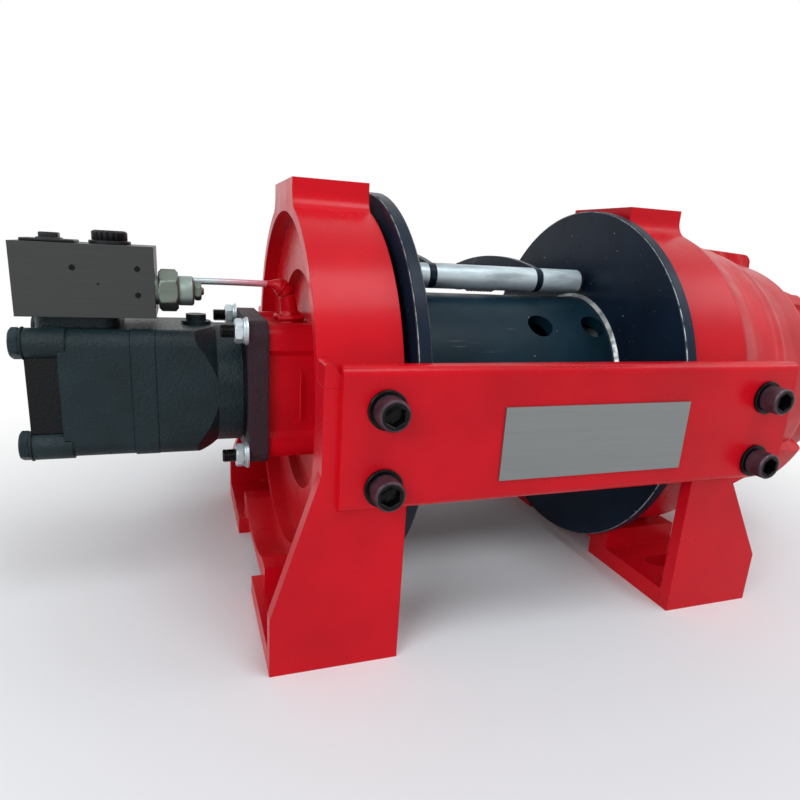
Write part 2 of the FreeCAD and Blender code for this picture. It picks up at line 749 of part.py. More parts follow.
# Socket head cap screws with washers through both channels into the legs
screws = []
washers = []
seat = tie_front + size("washer_thick")
grip = size("washer_thick") + size("tie_thick") + size("leg_thick") - size("screw_spare")
for number, (across, height) in enumerate(screw_places):
    for end, sign, out in (("front", -1, FRONT), ("rear", 1, BACK)):
        tag = "%s_%d" % (end, number)
        socket_y = (seat + size("screw_head") - size("socket_depth")) * sign
        head = cut("head_" + tag,
                   rod("blank_" + tag, size("screw_head_radius"), size("screw_head"),
                       across, seat * sign, height, out),
                   hexagon("socket_" + tag, size("socket_radius"), size("socket_depth") + overcut,
                           across, socket_y, height, out))
        shank = rod("shank_" + tag, size("screw_radius"), grip, across, (seat - grip) * sign, height, out)
        screws.append(fuse("screw_" + tag, [head, shank]))
        disc = rod("disc_" + tag, size("washer_radius"), size("washer_thick"),
                   across, tie_front * sign, height, out)
        hole = rod("disc_hole_" + tag, screw_hole, size("washer_thick") + overcut * 2,
                   across, (tie_front - overcut) * sign, height, out)
        washers.append(cut("washer_" + tag, disc, hole))
group("tie_cap_screws", screws)
group("tie_screw_washers", washers)
keep(box("plate", size("plate_left"), -tie_front - size("plate_thick"), axis_height + size("plate_low"),
         size("plate_width"), size("plate_thick"), size("plate_height")), "data_plate")

# Adapter hub: a square block whose sides are set back between its corner pads
hub_left = left_end + size("hub_length")
half = size("hub_half")
side_points = [
    (half, -half),
    (half, size("hub_pad") - half),
    (half - size("hub_waist"), size("hub_pad") + size("hub_slope") - half),
    (half - size("hub_waist"), half - size("hub_pad") - size("hub_slope")),
    (half, half - size("hub_pad")),
]
corners = []
for turn in range(4):
    corners.extend(side_points)
    side_points = [(-z, y) for y, z in side_points]
hub = new_body("adapter_hub")
sketch = new_sketch(hub, "YZ_Plane", "HubSection", -left_recess)
outline(sketch, corners)
pad(hub, sketch, hub_left - left_recess, reverse=True)
rounding(hub, lambda middle, length: abs(middle.y) > half.number - 0.1
         and abs(middle.z) > half.number - 0.1, size("hub_corner"))
place(hub, z=axis_height)
keep(hub, "motor_adapter_hub")

# Motor flange with its four studs, nuts and washers
mount_left = hub_left + size("mount_thick")
mount = square_block("mount", size("mount_half"), size("mount_corner"), -hub_left, size("mount_thick"))
holes = new_sketch(mount, "YZ_Plane", "StudHoles", -hub_left)
for across, height in corners_of(size("stud_half")):
    ring(holes, across, height, size("stud_radius"))
pocket(mount, holes, (size("mount_thick") + overcut) * 2, middle=True)
keep(mount, "motor_flange")
studs = []
nuts = []
nut_left = mount_left + size("nut_washer") + size("nut_thick")
stud_left = nut_left + size("stud_out")
for number, (across, height) in enumerate(corners_of(size("stud_half"))):
    level = axis_height + height
    studs.append(rod("stud_%d" % number, size("stud_radius"), stud_left - hub_left,
                     -stud_left, across, level))
    bore = rod("nut_bore_%d" % number, size("stud_radius"), nut_left - mount_left + overcut * 2,
               -nut_left - overcut, across, level)
    nut = fuse("nut_blank_%d" % number, [
        hexagon("nut_body_%d" % number, size("nut_radius"), size("nut_thick"),
                -nut_left, across, level, ALONG, FLAT_UP),
        rod("nut_disc_%d" % number, size("nut_washer_radius"), size("nut_washer"),
            -mount_left - size("nut_washer"), across, level),
    ])
    nuts.append(cut("nut_%d" % number, nut, bore))
group("motor_studs", studs)
group("motor_stud_nuts", nuts)

# Motor front housing: round neck, then a square body inside a turned envelope
neck_left = mount_left + size("neck_length")
taper_left = neck_left + size("taper_length")
front_left = taper_left + size("front_length")
casting = square_block("front_casting", size("motor_half"), size("motor_corner"), -mount_left,
                       front_left - mount_left)
envelope = turned("front_envelope", [
    (-front_left, 0),
    (-front_left, size("neck_radius") + size("taper_rise")),
    (-taper_left, size("neck_radius") + size("taper_rise")),
    (-neck_left, size("neck_radius")),
    (-mount_left - size("neck_groove"), size("neck_radius")),
    (-mount_left - size("neck_groove"), size("neck_radius") - size("neck_groove")),
    (-mount_left, size("neck_radius") - size("neck_groove")),
    (-mount_left, 0),
])
front_housing = doc.addObject("Part::Common", "front_housing")
front_housing.Base = casting
front_housing.Tool = envelope
plug_x = -neck_left - size("plug_inset")
motor_top = axis_height + size("motor_half")
keep(fuse("front_with_plug", [
    front_housing,
    rod("plug_seat", size("plug_seat_radius"), size("plug_seat") * 2, plug_x, ZERO,
        motor_top - size("plug_seat"), UP),
    rod("plug_head", size("plug_radius"), size("plug_seat") + size("plug_height"), plug_x, ZERO,
        motor_top, UP),
]), "motor_front_housing")

# Motor gear ring and rear housing with its narrower end between four bolt bosses
gerotor_left = front_left + size("gerotor_length")
rear_left = gerotor_left + size("rear_length")
core_left = rear_left + size("core_length")
keep(square_block("gerotor", size("motor_half") + size("gerotor_over"), size("motor_corner"), -front_left,
                  size("gerotor_length")), "motor_gear_ring")
rear = fuse("rear_casting", [
    square_block("rear_square", size("rear_half"), size("motor_corner"), -gerotor_left, size("rear_length")),
    square_block("rear_end", size("core_half"), size("core_corner"), -rear_left, size("core_length")),
])
bolts = []
for number, (across, height) in enumerate(corners_of(size("end_bolt_half"))):
    level = axis_height + height
    bolts.append(fuse("end_bolt_%d" % number, [
        rod("boss_%d" % number, size("end_bolt_radius"), size("core_length") + size("end_bolt_buried"),
            -core_left, across, level),
        hexagon("end_head_%d" % number, size("end_head_radius"), size("end_head"),
                -core_left - size("end_head"), across, level, ALONG),
    ]))
group("motor_end_bolt_bosses", bolts)
bolt_room = fuse("bolt_room", bolts)
keep(cut("rear_housing", rear, bolt_room), "motor_rear_housing")

# Port riser and the valve block on it
block_low = axis_height + size("rear_half") + size("block_lift")
block_left = core_left + size("block_over")
block_right = block_left - size("block_length")
block_top = block_low + size("block_height")
riser_left = block_left - size("riser_inset")
riser_right = riser_left - size("riser_length")
riser_low = block_low - size("riser_height")
riser = new_body("riser")
sketch = new_sketch(riser, "XY_Plane", "RiserOutline", riser_low)
outline(sketch, [
    (-riser_left, -size("riser_half")),
    (-riser_right, -size("riser_half")),
    (-riser_right, size("riser_half")),
    (-riser_left, size("riser_half")),
])
pad(riser, sketch, size("riser_height"))
rounding(riser, lambda middle, length: abs(middle.z - (riser_low + size("riser_height") * 0.5).number) < 0.1,
         size("riser_corner"))
keep(cut("riser_trimmed", riser, fuse("riser_room", [rear, bolt_room])), "motor_port_riser")
keep(box("block", -block_left, -size("block_front"), block_low,
         size("block_length"), size("block_depth"), size("block_height")), "valve_block")

# Cover plate with its square knob, and a ribbed cap, on top of the block
cover_x = size("cover_inset") - block_left
cover_y = size("cover_back") - size("block_front")
keep(fuse("cover_and_knob", [
    box("cover_plate", cover_x, cover_y, block_top,
        size("cover_width"), size("cover_depth"), size("cover_thick")),
    box("cover_knob", cover_x + size("knob_inset"), cover_y + size("knob_back"), block_top,
        size("knob_side"), size("knob_side"), size("knob_height")),
]), "valve_cover_plate")
rib_x = size("rib_at") - block_left
rib_y = size("rib_back") - size("block_front")
cap = fuse("cap_blank", [
    rod("cap_foot", size("rib_foot_radius"), size("rib_foot"), rib_x, rib_y, block_top, UP),
    rod("cap_body", size("rib_radius"), size("rib_height"), rib_x, rib_y, block_top, UP),
])
flutes = []
for number in range(12):
    angle = math.radians(30 * number + 15)
    flutes.append(rod("flute_%d" % number, size("rib_flute"), size("rib_height"),
                      rib_x + size("rib_radius") * math.cos(angle),
                      rib_y + size("rib_radius") * math.sin(angle), block_top + size("rib_foot"), UP))
keep(cut("ribbed_cap", cap, fuse("flutes", flutes)), "valve_ribbed_cap")

# Port fitting on the block, and the brake line to its elbow on the adapter hub
port_z = block_low + size("port_height")
port_y = -size("port_depth")
hex_x = size("port_collar") - block_right
sleeve_x = hex_x + size("port_hex")
nut_x = sleeve_x + size("port_sleeve")
tip_x = nut_x + size("port_nut")
keep(fuse("fitting", [
    rod("port_neck", size("port_collar_radius"), size("port_collar"), -block_right, port_y, port_z),
    hexagon("port_hexagon", size("port_hex_radius"), size("port_hex"), hex_x, port_y, port_z, ALONG),
    rod("port_barrel", size("port_sleeve_radius"), size("port_sleeve"), sleeve_x, port_y, port_z),
    hexagon("port_end", size("port_nut_radius"), size("port_nut"), nut_x, port_y, port_z, ALONG),
    rod("port_point", size("port_tip_radius"), size("port_tip"), tip_x, port_y, port_z),
]), "port_fitting")
tube_z = block_low + size("tube_height")
elbow_x = left_end - size("elbow_in")
cup_left = elbow_x + size("elbow_cup")
elbow_low = axis_height + size("hub_half") - size("hub_waist")
keep(rod("tube", size("tube_radius"), block_right - cup_left, -block_right, ZERO, tube_z), "brake_tube")
keep(fuse("elbow", [
    rod("elbow_upright", size("elbow_radius"), tube_z + size("elbow_over") - elbow_low,
        -elbow_x, ZERO, elbow_low, UP),
    rod("elbow_socket", size("elbow_cup_radius"), size("elbow_cup"), -cup_left, ZERO, tube_z),
]), "brake_elbow")

# Gearbox on the right: crowned shoulder, stepped housing with three ears, lugged cover and cap
shoulder_end = right_end + size("shoulder_length")
shoulder_radius = ring_radius - size("shoulder_less")
keep(turned("shoulder", [
    (right_recess, 0),
    (right_recess, size("recess_radius")),
    (right_web, size("recess_radius")),
    (right_web, ring_bore),
    (right_end, ring_bore),
    (right_end, ring_radius),
    ((right_end + shoulder_end) * 0.5, (ring_radius + shoulder_radius) * 0.5 + size("shoulder_crown")),
    (shoulder_end, shoulder_radius),
    (shoulder_end, 0),
]), "gearbox_shoulder")
gear_radius = ring_radius - size("gear_less")
gear_small = ring_radius - size("gear_small_less")
gear_step = shoulder_end + size("gear_length")
gear_end = gear_step + size("gear_small_length")
soft = size("gear_round")
gear = turned("gear_body", [
    (shoulder_end, 0),
    (shoulder_end, shoulder_radius),
    (gear_step - soft, gear_radius),
    (gear_step, gear_radius - soft),
    (gear_step, gear_small + soft),
    (gear_step + soft, gear_small),
    (gear_end - soft, gear_small),
    (gear_end, gear_small - soft),
    (gear_end, 0),
])
ear_start = shoulder_end + size("ear_inset")
ear_end = gear_end + size("ear_out")
ears = []
for angle in (90, 210, 330):
    ears.append(spoke("ear_%d" % angle, [
        (ear_start, -size("ear_half") - size("ear_flare")),
        (ear_end, -size("ear_half")),
        (ear_end, size("ear_half")),
        (ear_start, size("ear_half") + size("ear_flare")),
    ], gear_small - size("ear_deep"), ring_radius - size("ear_less"), angle, ear_end, size("ear_round")))
keep(fuse("gear_housing", [gear] + ears), "gearbox_housing")

cover_radius = ring_radius - size("cover_less")
cover_end = gear_end + size("cover_length")
cover_bevel = size("cover_bevel")
cover = turned("cover_body", [
    (gear_end, size("cap_radius")),
    (gear_end, cover_radius),
    (cover_end - cover_bevel, cover_radius - size("cover_taper")),
    (cover_end, cover_radius - size("cover_taper") - cover_bevel),
    (cover_end, size("cap_radius")),
])
lug_end = gear_end + size("cover_lug_length")
lug_half = size("cover_lug_half")
cover_lugs = []
for number in range(6):
    cover_lugs.append(spoke("cover_lug_%d" % number, [
        (gear_end, -lug_half),
        (lug_end, -lug_half),
        (lug_end, lug_half),
        (gear_end, lug_half),
    ], cover_radius - size("cover_lug_deep"), ring_radius - size("cover_lug_less"),
        60 * number - 3, lug_end, size("cover_lug_round")))
keep(fuse("end_cover", [cover] + cover_lugs), "gearbox_end_cover")
cap_end = cover_end + size("cap_length")
cap_bevel = size("cap_bevel")
keep(turned("end_cap", [
    (gear_end, 0),
    (gear_end, size("cap_radius")),
    (cap_end - cap_bevel, size("cap_radius")),
    (cap_end, size("cap_radius") - cap_bevel),
    (cap_end, 0),
]), "gearbox_end_cap")

# Tensioner shaft behind the drum, held by a lug on each bracket ring
pivot_y = ring_radius + size("pivot_over")
pivot_z = axis_height + size("pivot_z")
shaft_reach = bracket_inner + size("shaft_lug_thick")
boss = size("arm_boss")
keep(rod("shaft", size("shaft_radius"), shaft_reach * 2, -shaft_reach, pivot_y, pivot_z), "tensioner_shaft")
lugs = []
for side, start in (("left", -shaft_reach), ("right", bracket_inner)):
    lug = new_body("shaft_lug_" + side)
    sketch = new_sketch(lug, "YZ_Plane", "LugWeb", start)
    outline(sketch, [
        (ring_radius - size("root_low_in"), axis_height + size("root_low_up")),
        (pivot_y, pivot_z - boss),
        (pivot_y, pivot_z + boss),
        (ring_radius - size("root_high_in"), axis_height + size("root_high_up")),
    ])
    pad(lug, sketch, size("shaft_lug_thick"))
    sketch = new_sketch(lug, "YZ_Plane", "LugBoss", start)
    ring(sketch, pivot_y, pivot_z, boss)
    pad(lug, sketch, size("shaft_lug_thick"))
    hole = new_sketch(lug, "YZ_Plane", "ShaftHole", start)
    ring(hole, pivot_y, pivot_z, size("shaft_radius"))
    pocket(lug, hole, (size("shaft_lug_thick") + overcut) * 2, middle=True)
    lugs.append(cut("lug_seated_" + side, lug, ring_seat))
group("tensioner_shaft_lugs", lugs)

# Tensioner arms: an arched band between the boss on the shaft and the eye at the roller
roller_y = size("roller_y")
roller_z = axis_height + size("barrel_radius") + size("roller_clear") + size("roller_radius")
arm_bore = size("shaft_radius") + size("running_gap")
eye_bore = size("axle_radius") + size("running_gap")
eye = size("arm_eye")
for name, side in (("left", -1), ("right", 1)):
    start = size("arm_place") * side - size("arm_thick") * 0.5
    arm = new_body(name + "_arm")
    sketch = new_sketch(arm, "YZ_Plane", "ArmBand", start)
    outline(sketch, [
        (roller_y, roller_z + eye),
        (pivot_y, pivot_z + boss),
        (pivot_y, pivot_z - boss),
        (roller_y, roller_z - eye),
    ], [-size("arm_top_curve"), 0, size("arm_low_curve"), 0])
    pad(arm, sketch, size("arm_thick"))
    for tag, across, height, radius in (("Boss", pivot_y, pivot_z, boss), ("Eye", roller_y, roller_z, eye)):
        sketch = new_sketch(arm, "YZ_Plane", tag, start)
        ring(sketch, across, height, radius)
        pad(arm, sketch, size("arm_thick"))
    holes = new_sketch(arm, "YZ_Plane", "ArmHoles", start)
    ring(holes, pivot_y, pivot_z, arm_bore)
    ring(holes, roller_y, roller_z, eye_bore)
    pocket(arm, holes, (size("arm_thick") + overcut) * 2, middle=True)
    keep(arm, "tensioner_%s_arm" % name)

# Roller axle with end collars, and the three sleeves between and beside the arms
axle_end = size("sleeve_end") + size("collar_thick")
axle = [rod("axle_bar", size("axle_radius"), axle_end * 2, -axle_end, roller_y, roller_z)]
for name, start in (("left", -axle_end), ("right", size("sleeve_end"))):
    axle.append(rod("collar_" + name, size("collar_radius"), size("collar_thick"),
                    start, roller_y, roller_z))
keep(fuse("axle", axle), "roller_axle")
arm_inner = size("arm_place") - size("arm_thick") * 0.5
arm_outer = size("arm_place") + size("arm_thick") * 0.5
near = arm_inner - size("sleeve_gap")
far = arm_outer + size("sleeve_gap")
bore = rod("sleeve_bore", size("axle_radius"), axle_end * 2, -axle_end, roller_y, roller_z)
sleeves = []
for name, start, length in (("left", -size("sleeve_end"), size("sleeve_end") - far),
                            ("middle", -near, near * 2),
                            ("right", far, size("sleeve_end") - far)):
    blank = rod("sleeve_blank_" + name, size("roller_radius"), length, start, roller_y, roller_z)
    sleeves.append(cut("sleeve_" + name, blank, bore))
group("roller_sleeves", sleeves)

# Tube that joins the arms, and the springs beside them on the shaft
tube = rod("tube_blank", size("arm_tube_radius"), arm_inner * 2, -arm_inner, pivot_y, pivot_z)
tube_bore = rod("tube_bore", arm_bore, (arm_inner + overcut) * 2, -arm_inner - overcut, pivot_y, pivot_z)
keep(cut("joining_tube", tube, tube_bore), "tensioner_tube")
coils = []
spring_start = arm_outer + size("spring_gap")
for name, start in (("left", -spring_start - size("spring_length")), ("right", spring_start)):
    coil = rod("coil_" + name, size("spring_radius"), size("spring_length"), start, pivot_y, pivot_z)
    core = rod("coil_core_" + name, size("shaft_radius"), size("spring_length") + overcut * 2,
               start - overcut, pivot_y, pivot_z)
    coils.append(cut("spring_" + name, coil, core))
group("tensioner_springs", coils)

doc.recompute()
for item in doc.Objects:
    if "Invalid" in item.State or "Error" in item.State:
        raise RuntimeError("%s did not rebuild: %s" % (item.Label, item.State))
for item in nodes:
    if item.Shape.isNull() or not item.Shape.isValid():
        raise RuntimeError("%s has no valid shape" % item.Label)
    item.Shape.exportStep("parts/%s.step" % item.Label)
    print("%-26s %d solids %10.0f mm3" % (item.Label, len(item.Shape.Solids), item.Shape.Volume))
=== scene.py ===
"""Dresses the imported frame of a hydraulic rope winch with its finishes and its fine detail."""

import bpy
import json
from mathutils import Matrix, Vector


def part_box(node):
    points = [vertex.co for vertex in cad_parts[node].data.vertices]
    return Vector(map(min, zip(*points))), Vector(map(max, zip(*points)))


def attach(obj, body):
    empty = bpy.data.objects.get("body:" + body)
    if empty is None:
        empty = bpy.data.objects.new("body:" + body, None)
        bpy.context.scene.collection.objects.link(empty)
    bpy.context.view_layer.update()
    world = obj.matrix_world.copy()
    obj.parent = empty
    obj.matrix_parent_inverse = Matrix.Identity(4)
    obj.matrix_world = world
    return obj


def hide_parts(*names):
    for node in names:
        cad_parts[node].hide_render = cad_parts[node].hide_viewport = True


bl_info = {
    "name": "Hydraulic Rope Winch",
    "version": (1, 0, 0),
    "blender": (4, 5, 0),
    "location": "View3D > Sidebar > Winch",
    "description": "Finishes and fine pieces of a hydraulic rope winch on its packed frame",
    "category": "Object",
}

import json
import math

import bpy
import numpy as np
from bpy.props import FloatProperty, FloatVectorProperty, PointerProperty
from mathutils import Matrix, Vector

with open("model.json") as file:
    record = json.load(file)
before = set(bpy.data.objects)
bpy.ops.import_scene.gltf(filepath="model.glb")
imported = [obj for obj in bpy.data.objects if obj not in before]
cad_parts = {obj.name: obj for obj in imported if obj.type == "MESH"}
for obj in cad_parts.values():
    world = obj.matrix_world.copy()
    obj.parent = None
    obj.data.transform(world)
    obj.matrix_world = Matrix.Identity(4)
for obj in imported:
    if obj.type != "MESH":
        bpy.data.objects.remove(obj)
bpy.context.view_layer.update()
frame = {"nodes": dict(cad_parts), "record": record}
SLOTS = {part["node"]: part["material_slot"] for part in frame["record"]["subparts"]}

X = np.array((1.0, 0.0, 0.0))
Y = np.array((0.0, 1.0, 0.0))
Z = np.array((0.0, 0.0, 1.0))
FULL_TURN = 2 * math.pi

# Places in millimetres: the height of the winch axis, the outer and inner radius of a ring, the span of each
# ring along the axis, the tie screws with the side they come in from, and the motor's studs and end bolts.
AXIS = 195.0
RING_RADIUS, RING_BORE = 170.0, 160.0
RING_SPANS = ((-206, -142), (142, 202))
TIE_SCREWS = [(x, z, side) for x in (-163.0, 198.0) for z in (AXIS + 21, AXIS - 39) for side in (-1.0, 1.0)]
STUDS = [(y, z) for y in (-56.5, 56.5) for z in (AXIS - 56.5, AXIS + 56.5)]
END_BOLTS = [(y, z) for y in (-43.0, 43.0) for z in (AXIS - 43, AXIS + 43)]

# Places in metres where a finish changes: the radius of a flange's worn rim, the radius of the barrel's welds
# and how far from the middle they lie, the end of the motor past which it turns almost black with painted
# shade of its recessed rear, and the span along which the brake tube turns from silver to red.
RIM = (0.18105, 0.18155)
BARREL_REACH = 0.0945
BARREL_WELD = (0.118, 0.1212)
MOTOR_SHADED_END = -0.3975
OVERSPRAY = (-0.275, -0.222)

# Kinds of node. A map range takes its input 0 from the span 1 to 2 to the span 3 to 4, none to one if unset.
MATHS = "ShaderNodeMath"
MAP_RANGE = "ShaderNodeMapRange"
RAMP = "ShaderNodeValToRGB"


def linear(colour):
    """An sRGB hex value as the linear red, green and blue that Blender works in."""
    parts = [int(colour[i:i + 2], 16) / 255 for i in (1, 3, 5)]
    return tuple(c / 12.92 if c <= 0.04045 else ((c + 0.055) / 1.055) ** 2.4 for c in parts)


def size_prop(name, text, default):
    """A length in metres."""
    return FloatProperty(name=name, description=text, default=default, min=0.0,
                         unit="LENGTH", subtype="DISTANCE")


def colour_prop(name, text, default):
    """A colour, its default an sRGB hex value."""
    return FloatVectorProperty(name=name, description=text, default=linear(default), size=3,
                               min=0.0, max=1.0, subtype="COLOR")


class WinchSizes(bpy.types.PropertyGroup):
    """Sizes of the fine pieces that dress the frame."""

    knurl_depth: size_prop("Knurl depth", "Depth of the knurling on the cap screw heads", 0.00022)
    stud_pitch: size_prop("Stud pitch", "Pitch of the thread on the motor studs", 0.00175)
    wire_radius: size_prop("Spring wire", "Radius of the wire of the tensioner springs", 0.0025)
    weld_radius: size_prop("Weld bead", "Radius of the painted weld beads", 0.0026)
    socket_width: size_prop("Cap screw socket", "Width across flats of the cap screw sockets", 0.0139)
    edge_soften: size_prop("Softened edge", "Radius that rounds the edges of painted steel", 0.0013)


class WinchColours(bpy.types.PropertyGroup):
    """Colours of the finishes."""

    enamel: colour_prop("Enamel", "Gloss enamel of the brackets, channels and gearbox", "#cf0a1d")
    drum: colour_prop("Barrel", "Satin paint of the drum barrel", "#0c2733")
    flange: colour_prop("Flanges", "Satin paint of the drum flanges and the tensioner", "#121f2f")
    casting: colour_prop("Casting", "Paint of the motor castings", "#17262a")
    mounting: colour_prop("Motor flange", "Primer of the motor flange", "#35262d")
    blackening: colour_prop("Black oxide", "Black oxide of the screws and washers", "#43343c")
    zinc: colour_prop("Zinc", "Zinc plate of the nuts, the sleeves and the tube", "#cbd9dd")
    # Painted highlight: the collar's zinc is drawn lighter than the fitting's, standing in for the light on
    # it.
    collar: colour_prop("Collar", "Zinc plate of the fitting's collar, worn by handling", "#8d9b94")
    fitting: colour_prop("Fitting", "Zinc plate of the port fitting, dulled by oil", "#707a72")
    block: colour_prop("Valve block", "Milled steel of the valve block", "#3d3e3d")
    plate: colour_prop("Data plate", "Brushed steel of the data plate", "#858888")
    moulding: colour_prop("Moulding", "Black plastic of the cap and the cover", "#0c0c0f")
    bare: colour_prop("Bare steel", "Bare weld metal and worn edges", "#c9ccc9")


def add(tree, kind, inputs=None, stops=None, **settings):
    """Adds one node: settings are its properties, stops its ramp, inputs what its sockets take in.

    An input is a value, a socket to link from, or a node to link from by its first output.
    """
    item = tree.nodes.new(kind)
    for name, value in settings.items():
        setattr(item, name, value)
    for key, value in (inputs or {}).items():
        if isinstance(value, bpy.types.Node):
            value = value.outputs[0]
        if isinstance(value, bpy.types.NodeSocket):
            tree.links.new(value, item.inputs[key])
        else:
            item.inputs[key].default_value = value
    if stops:
        ramp = item.color_ramp.elements
        while len(ramp) < len(stops):
            ramp.new(0.5)
        for element, (place, colour) in zip(ramp, stops):
            element.position = place
            element.color = colour
    return item


def new_material(name, **sockets):
    """A material's tree and its one Principled shader; the sockets are set on the shader itself."""
    material = bpy.data.materials.new(name)
    material.use_nodes = True
    shader = material.node_tree.nodes["Principled BSDF"]
    for key, value in sockets.items():
        shader.inputs[key.replace("_", " ")].default_value = value
    return material.node_tree, shader


def tint(colour, factor=1.0):
    """The colour made lighter or darker, as red, green, blue and alpha."""
    return tuple(min(1.0, channel * factor) for channel in colour) + (1.0,)


def grain(tree, scale, detail=3.0, stretch=(1, 1, 1), place=(0, 0, 0), turn=(0, 0, 0)):
    """Noise on object coordinates; the scale is one over the grain size in metres."""
    where = add(tree, "ShaderNodeTexCoord")
    mapped = add(tree, "ShaderNodeMapping", {"Vector": where.outputs["Object"], "Scale": stretch,
                                             "Location": place, "Rotation": turn})
    return add(tree, "ShaderNodeTexNoise", {"Vector": mapped, "Scale": scale, "Detail": detail,
                                            "Roughness": 0.55})


def place_of(tree):
    """The x, y and z of the object coordinates, in metres."""
    where = add(tree, "ShaderNodeTexCoord")
    return add(tree, "ShaderNodeSeparateXYZ", {0: where.outputs["Object"]}).outputs


def shade(tree, shader, noise, low, high, span=(0.35, 0.65)):
    """Colour that wanders between two shades with a noise."""
    ramp = add(tree, RAMP, {"Fac": noise}, [(span[0], low), (span[1], high)])
    tree.links.new(ramp.outputs["Color"], shader.inputs["Base Color"])
    return ramp


def overlay(tree, shader, mask, under, over):
    """Colour that changes from one to another where the mask is one."""
    mixed = add(tree, "ShaderNodeMix", {0: mask, 6: under, 7: over}, data_type="RGBA")
    tree.links.new(mixed.outputs[2], shader.inputs["Base Color"])


def polish(tree, shader, noise, low, high):
    """Roughness that wanders between two values with a noise."""
    rough = add(tree, MAP_RANGE, {0: noise, 1: 0.3, 2: 0.7, 3: low, 4: high})
    tree.links.new(rough.outputs[0], shader.inputs["Roughness"])


def relief(tree, shader, height, strength, depth, soften=0.0):
    """Bump from a height, on edges softened by the given radius."""
    inputs = {"Height": height, "Strength": strength, "Distance": depth}
    if soften:
        inputs["Normal"] = add(tree, "ShaderNodeBevel", {"Radius": soften}, samples=4)
    tree.links.new(add(tree, "ShaderNodeBump", inputs).outputs[0], shader.inputs["Normal"])


def seen_directly(tree):
    """One where the camera, a reflection or a transmission sees the surface, and none for soft light."""
    ray = add(tree, "ShaderNodeLightPath").outputs
    total = add(tree, MATHS, {0: ray["Is Camera Ray"], 1: ray["Is Glossy Ray"]}, operation="ADD")
    total = add(tree, MATHS, {0: total, 1: ray["Is Transmission Ray"]}, operation="ADD")
    return add(tree, MATHS, {0: total, 1: 1.0}, operation="MINIMUM")


def drum_place(tree):
    """The root of (z - axis) squared plus y squared, which is the distance from the drum axis, and |x|."""
    place = place_of(tree)
    height = add(tree, MATHS, {0: place["Z"], 1: AXIS / 1000}, operation="SUBTRACT")
    upward = add(tree, MATHS, {0: height, 1: height}, operation="MULTIPLY")
    sideways = add(tree, MATHS, {0: place["Y"], 1: place["Y"]}, operation="MULTIPLY")
    squares = add(tree, MATHS, {0: upward, 1: sideways}, operation="ADD")
    return (add(tree, MATHS, {0: squares}, operation="SQRT"),
            add(tree, MATHS, {0: place["X"]}, operation="ABSOLUTE"))


def within(tree, value, low, high):
    """One where the value lies between two limits, and none elsewhere."""
    above = add(tree, MATHS, {0: value, 1: low}, operation="GREATER_THAN")
    below = add(tree, MATHS, {0: value, 1: high}, operation="LESS_THAN")
    return add(tree, MATHS, {0: above, 1: below}, operation="MULTIPLY")


def enamel_on_steel(colours, soften):
    """Gloss enamel sprayed on welded steel: deep red with soft broad highlights.

    Its orange peel is drawn 2.4 mm wide, which is as fine as shows.
    """
    tree, shader = new_material("gloss_enamel_on_steel", IOR=1.45, Specular_IOR_Level=0.17,
                                Coat_Weight=0.05, Coat_Roughness=0.15)
    shade(tree, shader, grain(tree, 9, 3), tint(colours.enamel, 0.86), tint(colours.enamel, 1.06))
    polish(tree, shader, grain(tree, 26, 4), 0.24, 0.38)
    relief(tree, shader, grain(tree, 420, 2), 0.05, 0.0006, soften)


def enamel_on_casting(colours, soften):
    """The same enamel on a cast or wrinkled ground: wrinkles 5 mm apart break up its highlights."""
    tree, shader = new_material("gloss_enamel_on_casting", IOR=1.45, Specular_IOR_Level=0.17,
                                Coat_Weight=0.05, Coat_Roughness=0.2)
    shade(tree, shader, grain(tree, 14, 4), tint(colours.enamel, 0.8), tint(colours.enamel, 1.05))
    polish(tree, shader, grain(tree, 40, 4), 0.28, 0.44)
    relief(tree, shader, grain(tree, 190, 4), 0.16, 0.001, soften)


def drum_paint(name, colour, bare, sheen):
    """Satin blue-black paint on turned steel: a soft sheen over faint clouds, with bare metal in places.

    It shows in worn patches on the flange rims, in long fine rope scratches at a slant, and in specks of about
    6 mm. Streaks of the same pale metal colour lie in a band over the barrel's welds at each end.
    """
    tree, shader = new_material(name, IOR=1.45, Specular_IOR_Level=0.16)
    radius, across = drum_place(tree)
    shades = [(0.35, tint(colour, 0.75)), (0.7, tint(colour, 1.3))]
    base = add(tree, RAMP, {"Fac": grain(tree, 16, 4)}, shades)
    worn = add(tree, MAP_RANGE, {0: grain(tree, 90, 4), 1: 0.38, 2: 0.56})
    rim = add(tree, MATHS, {0: within(tree, radius, *RIM), 1: worn}, operation="MULTIPLY")
    rim = add(tree, MATHS, {0: rim, 1: 0.6}, operation="MULTIPLY")
    # The welds at the barrel's ends: a band of pale metal colour in streaks.
    low = add(tree, MATHS, {0: radius, 1: BARREL_REACH}, operation="LESS_THAN")
    weld = add(tree, MATHS, {0: low, 1: within(tree, across, *BARREL_WELD)}, operation="MULTIPLY")
    streak = add(tree, MATHS, {0: worn, 1: 0.4, 2: 0.35}, operation="MULTIPLY_ADD")
    weld = add(tree, MATHS, {0: weld, 1: streak}, operation="MULTIPLY")
    patches = add(tree, MATHS, {0: rim, 1: weld}, operation="ADD")
    rope = grain(tree, 24, 5, (0.5, 10, 10), turn=(0.0, 0.35, 0.0))
    scratches = add(tree, MAP_RANGE, {0: rope, 1: 0.68, 2: 0.74, 4: 0.16})
    specks = add(tree, MAP_RANGE, {0: grain(tree, 170, 2), 1: 0.75, 2: 0.77, 4: 0.5})
    marks = add(tree, MATHS, {0: scratches, 1: specks}, operation="ADD")
    mask = add(tree, MATHS, {0: patches, 1: marks}, operation="ADD")
    mask = add(tree, MATHS, {0: mask, 1: 1.0}, operation="MINIMUM")
    overlay(tree, shader, mask, base, tint(bare, 0.85))
    metal = add(tree, MATHS, {0: mask, 1: 0.9}, operation="MULTIPLY")
    tree.links.new(metal.outputs[0], shader.inputs["Metallic"])
    polish(tree, shader, grain(tree, 60, 3), sheen, sheen + 0.1)
    relief(tree, shader, rope, 0.08, 0.0005)


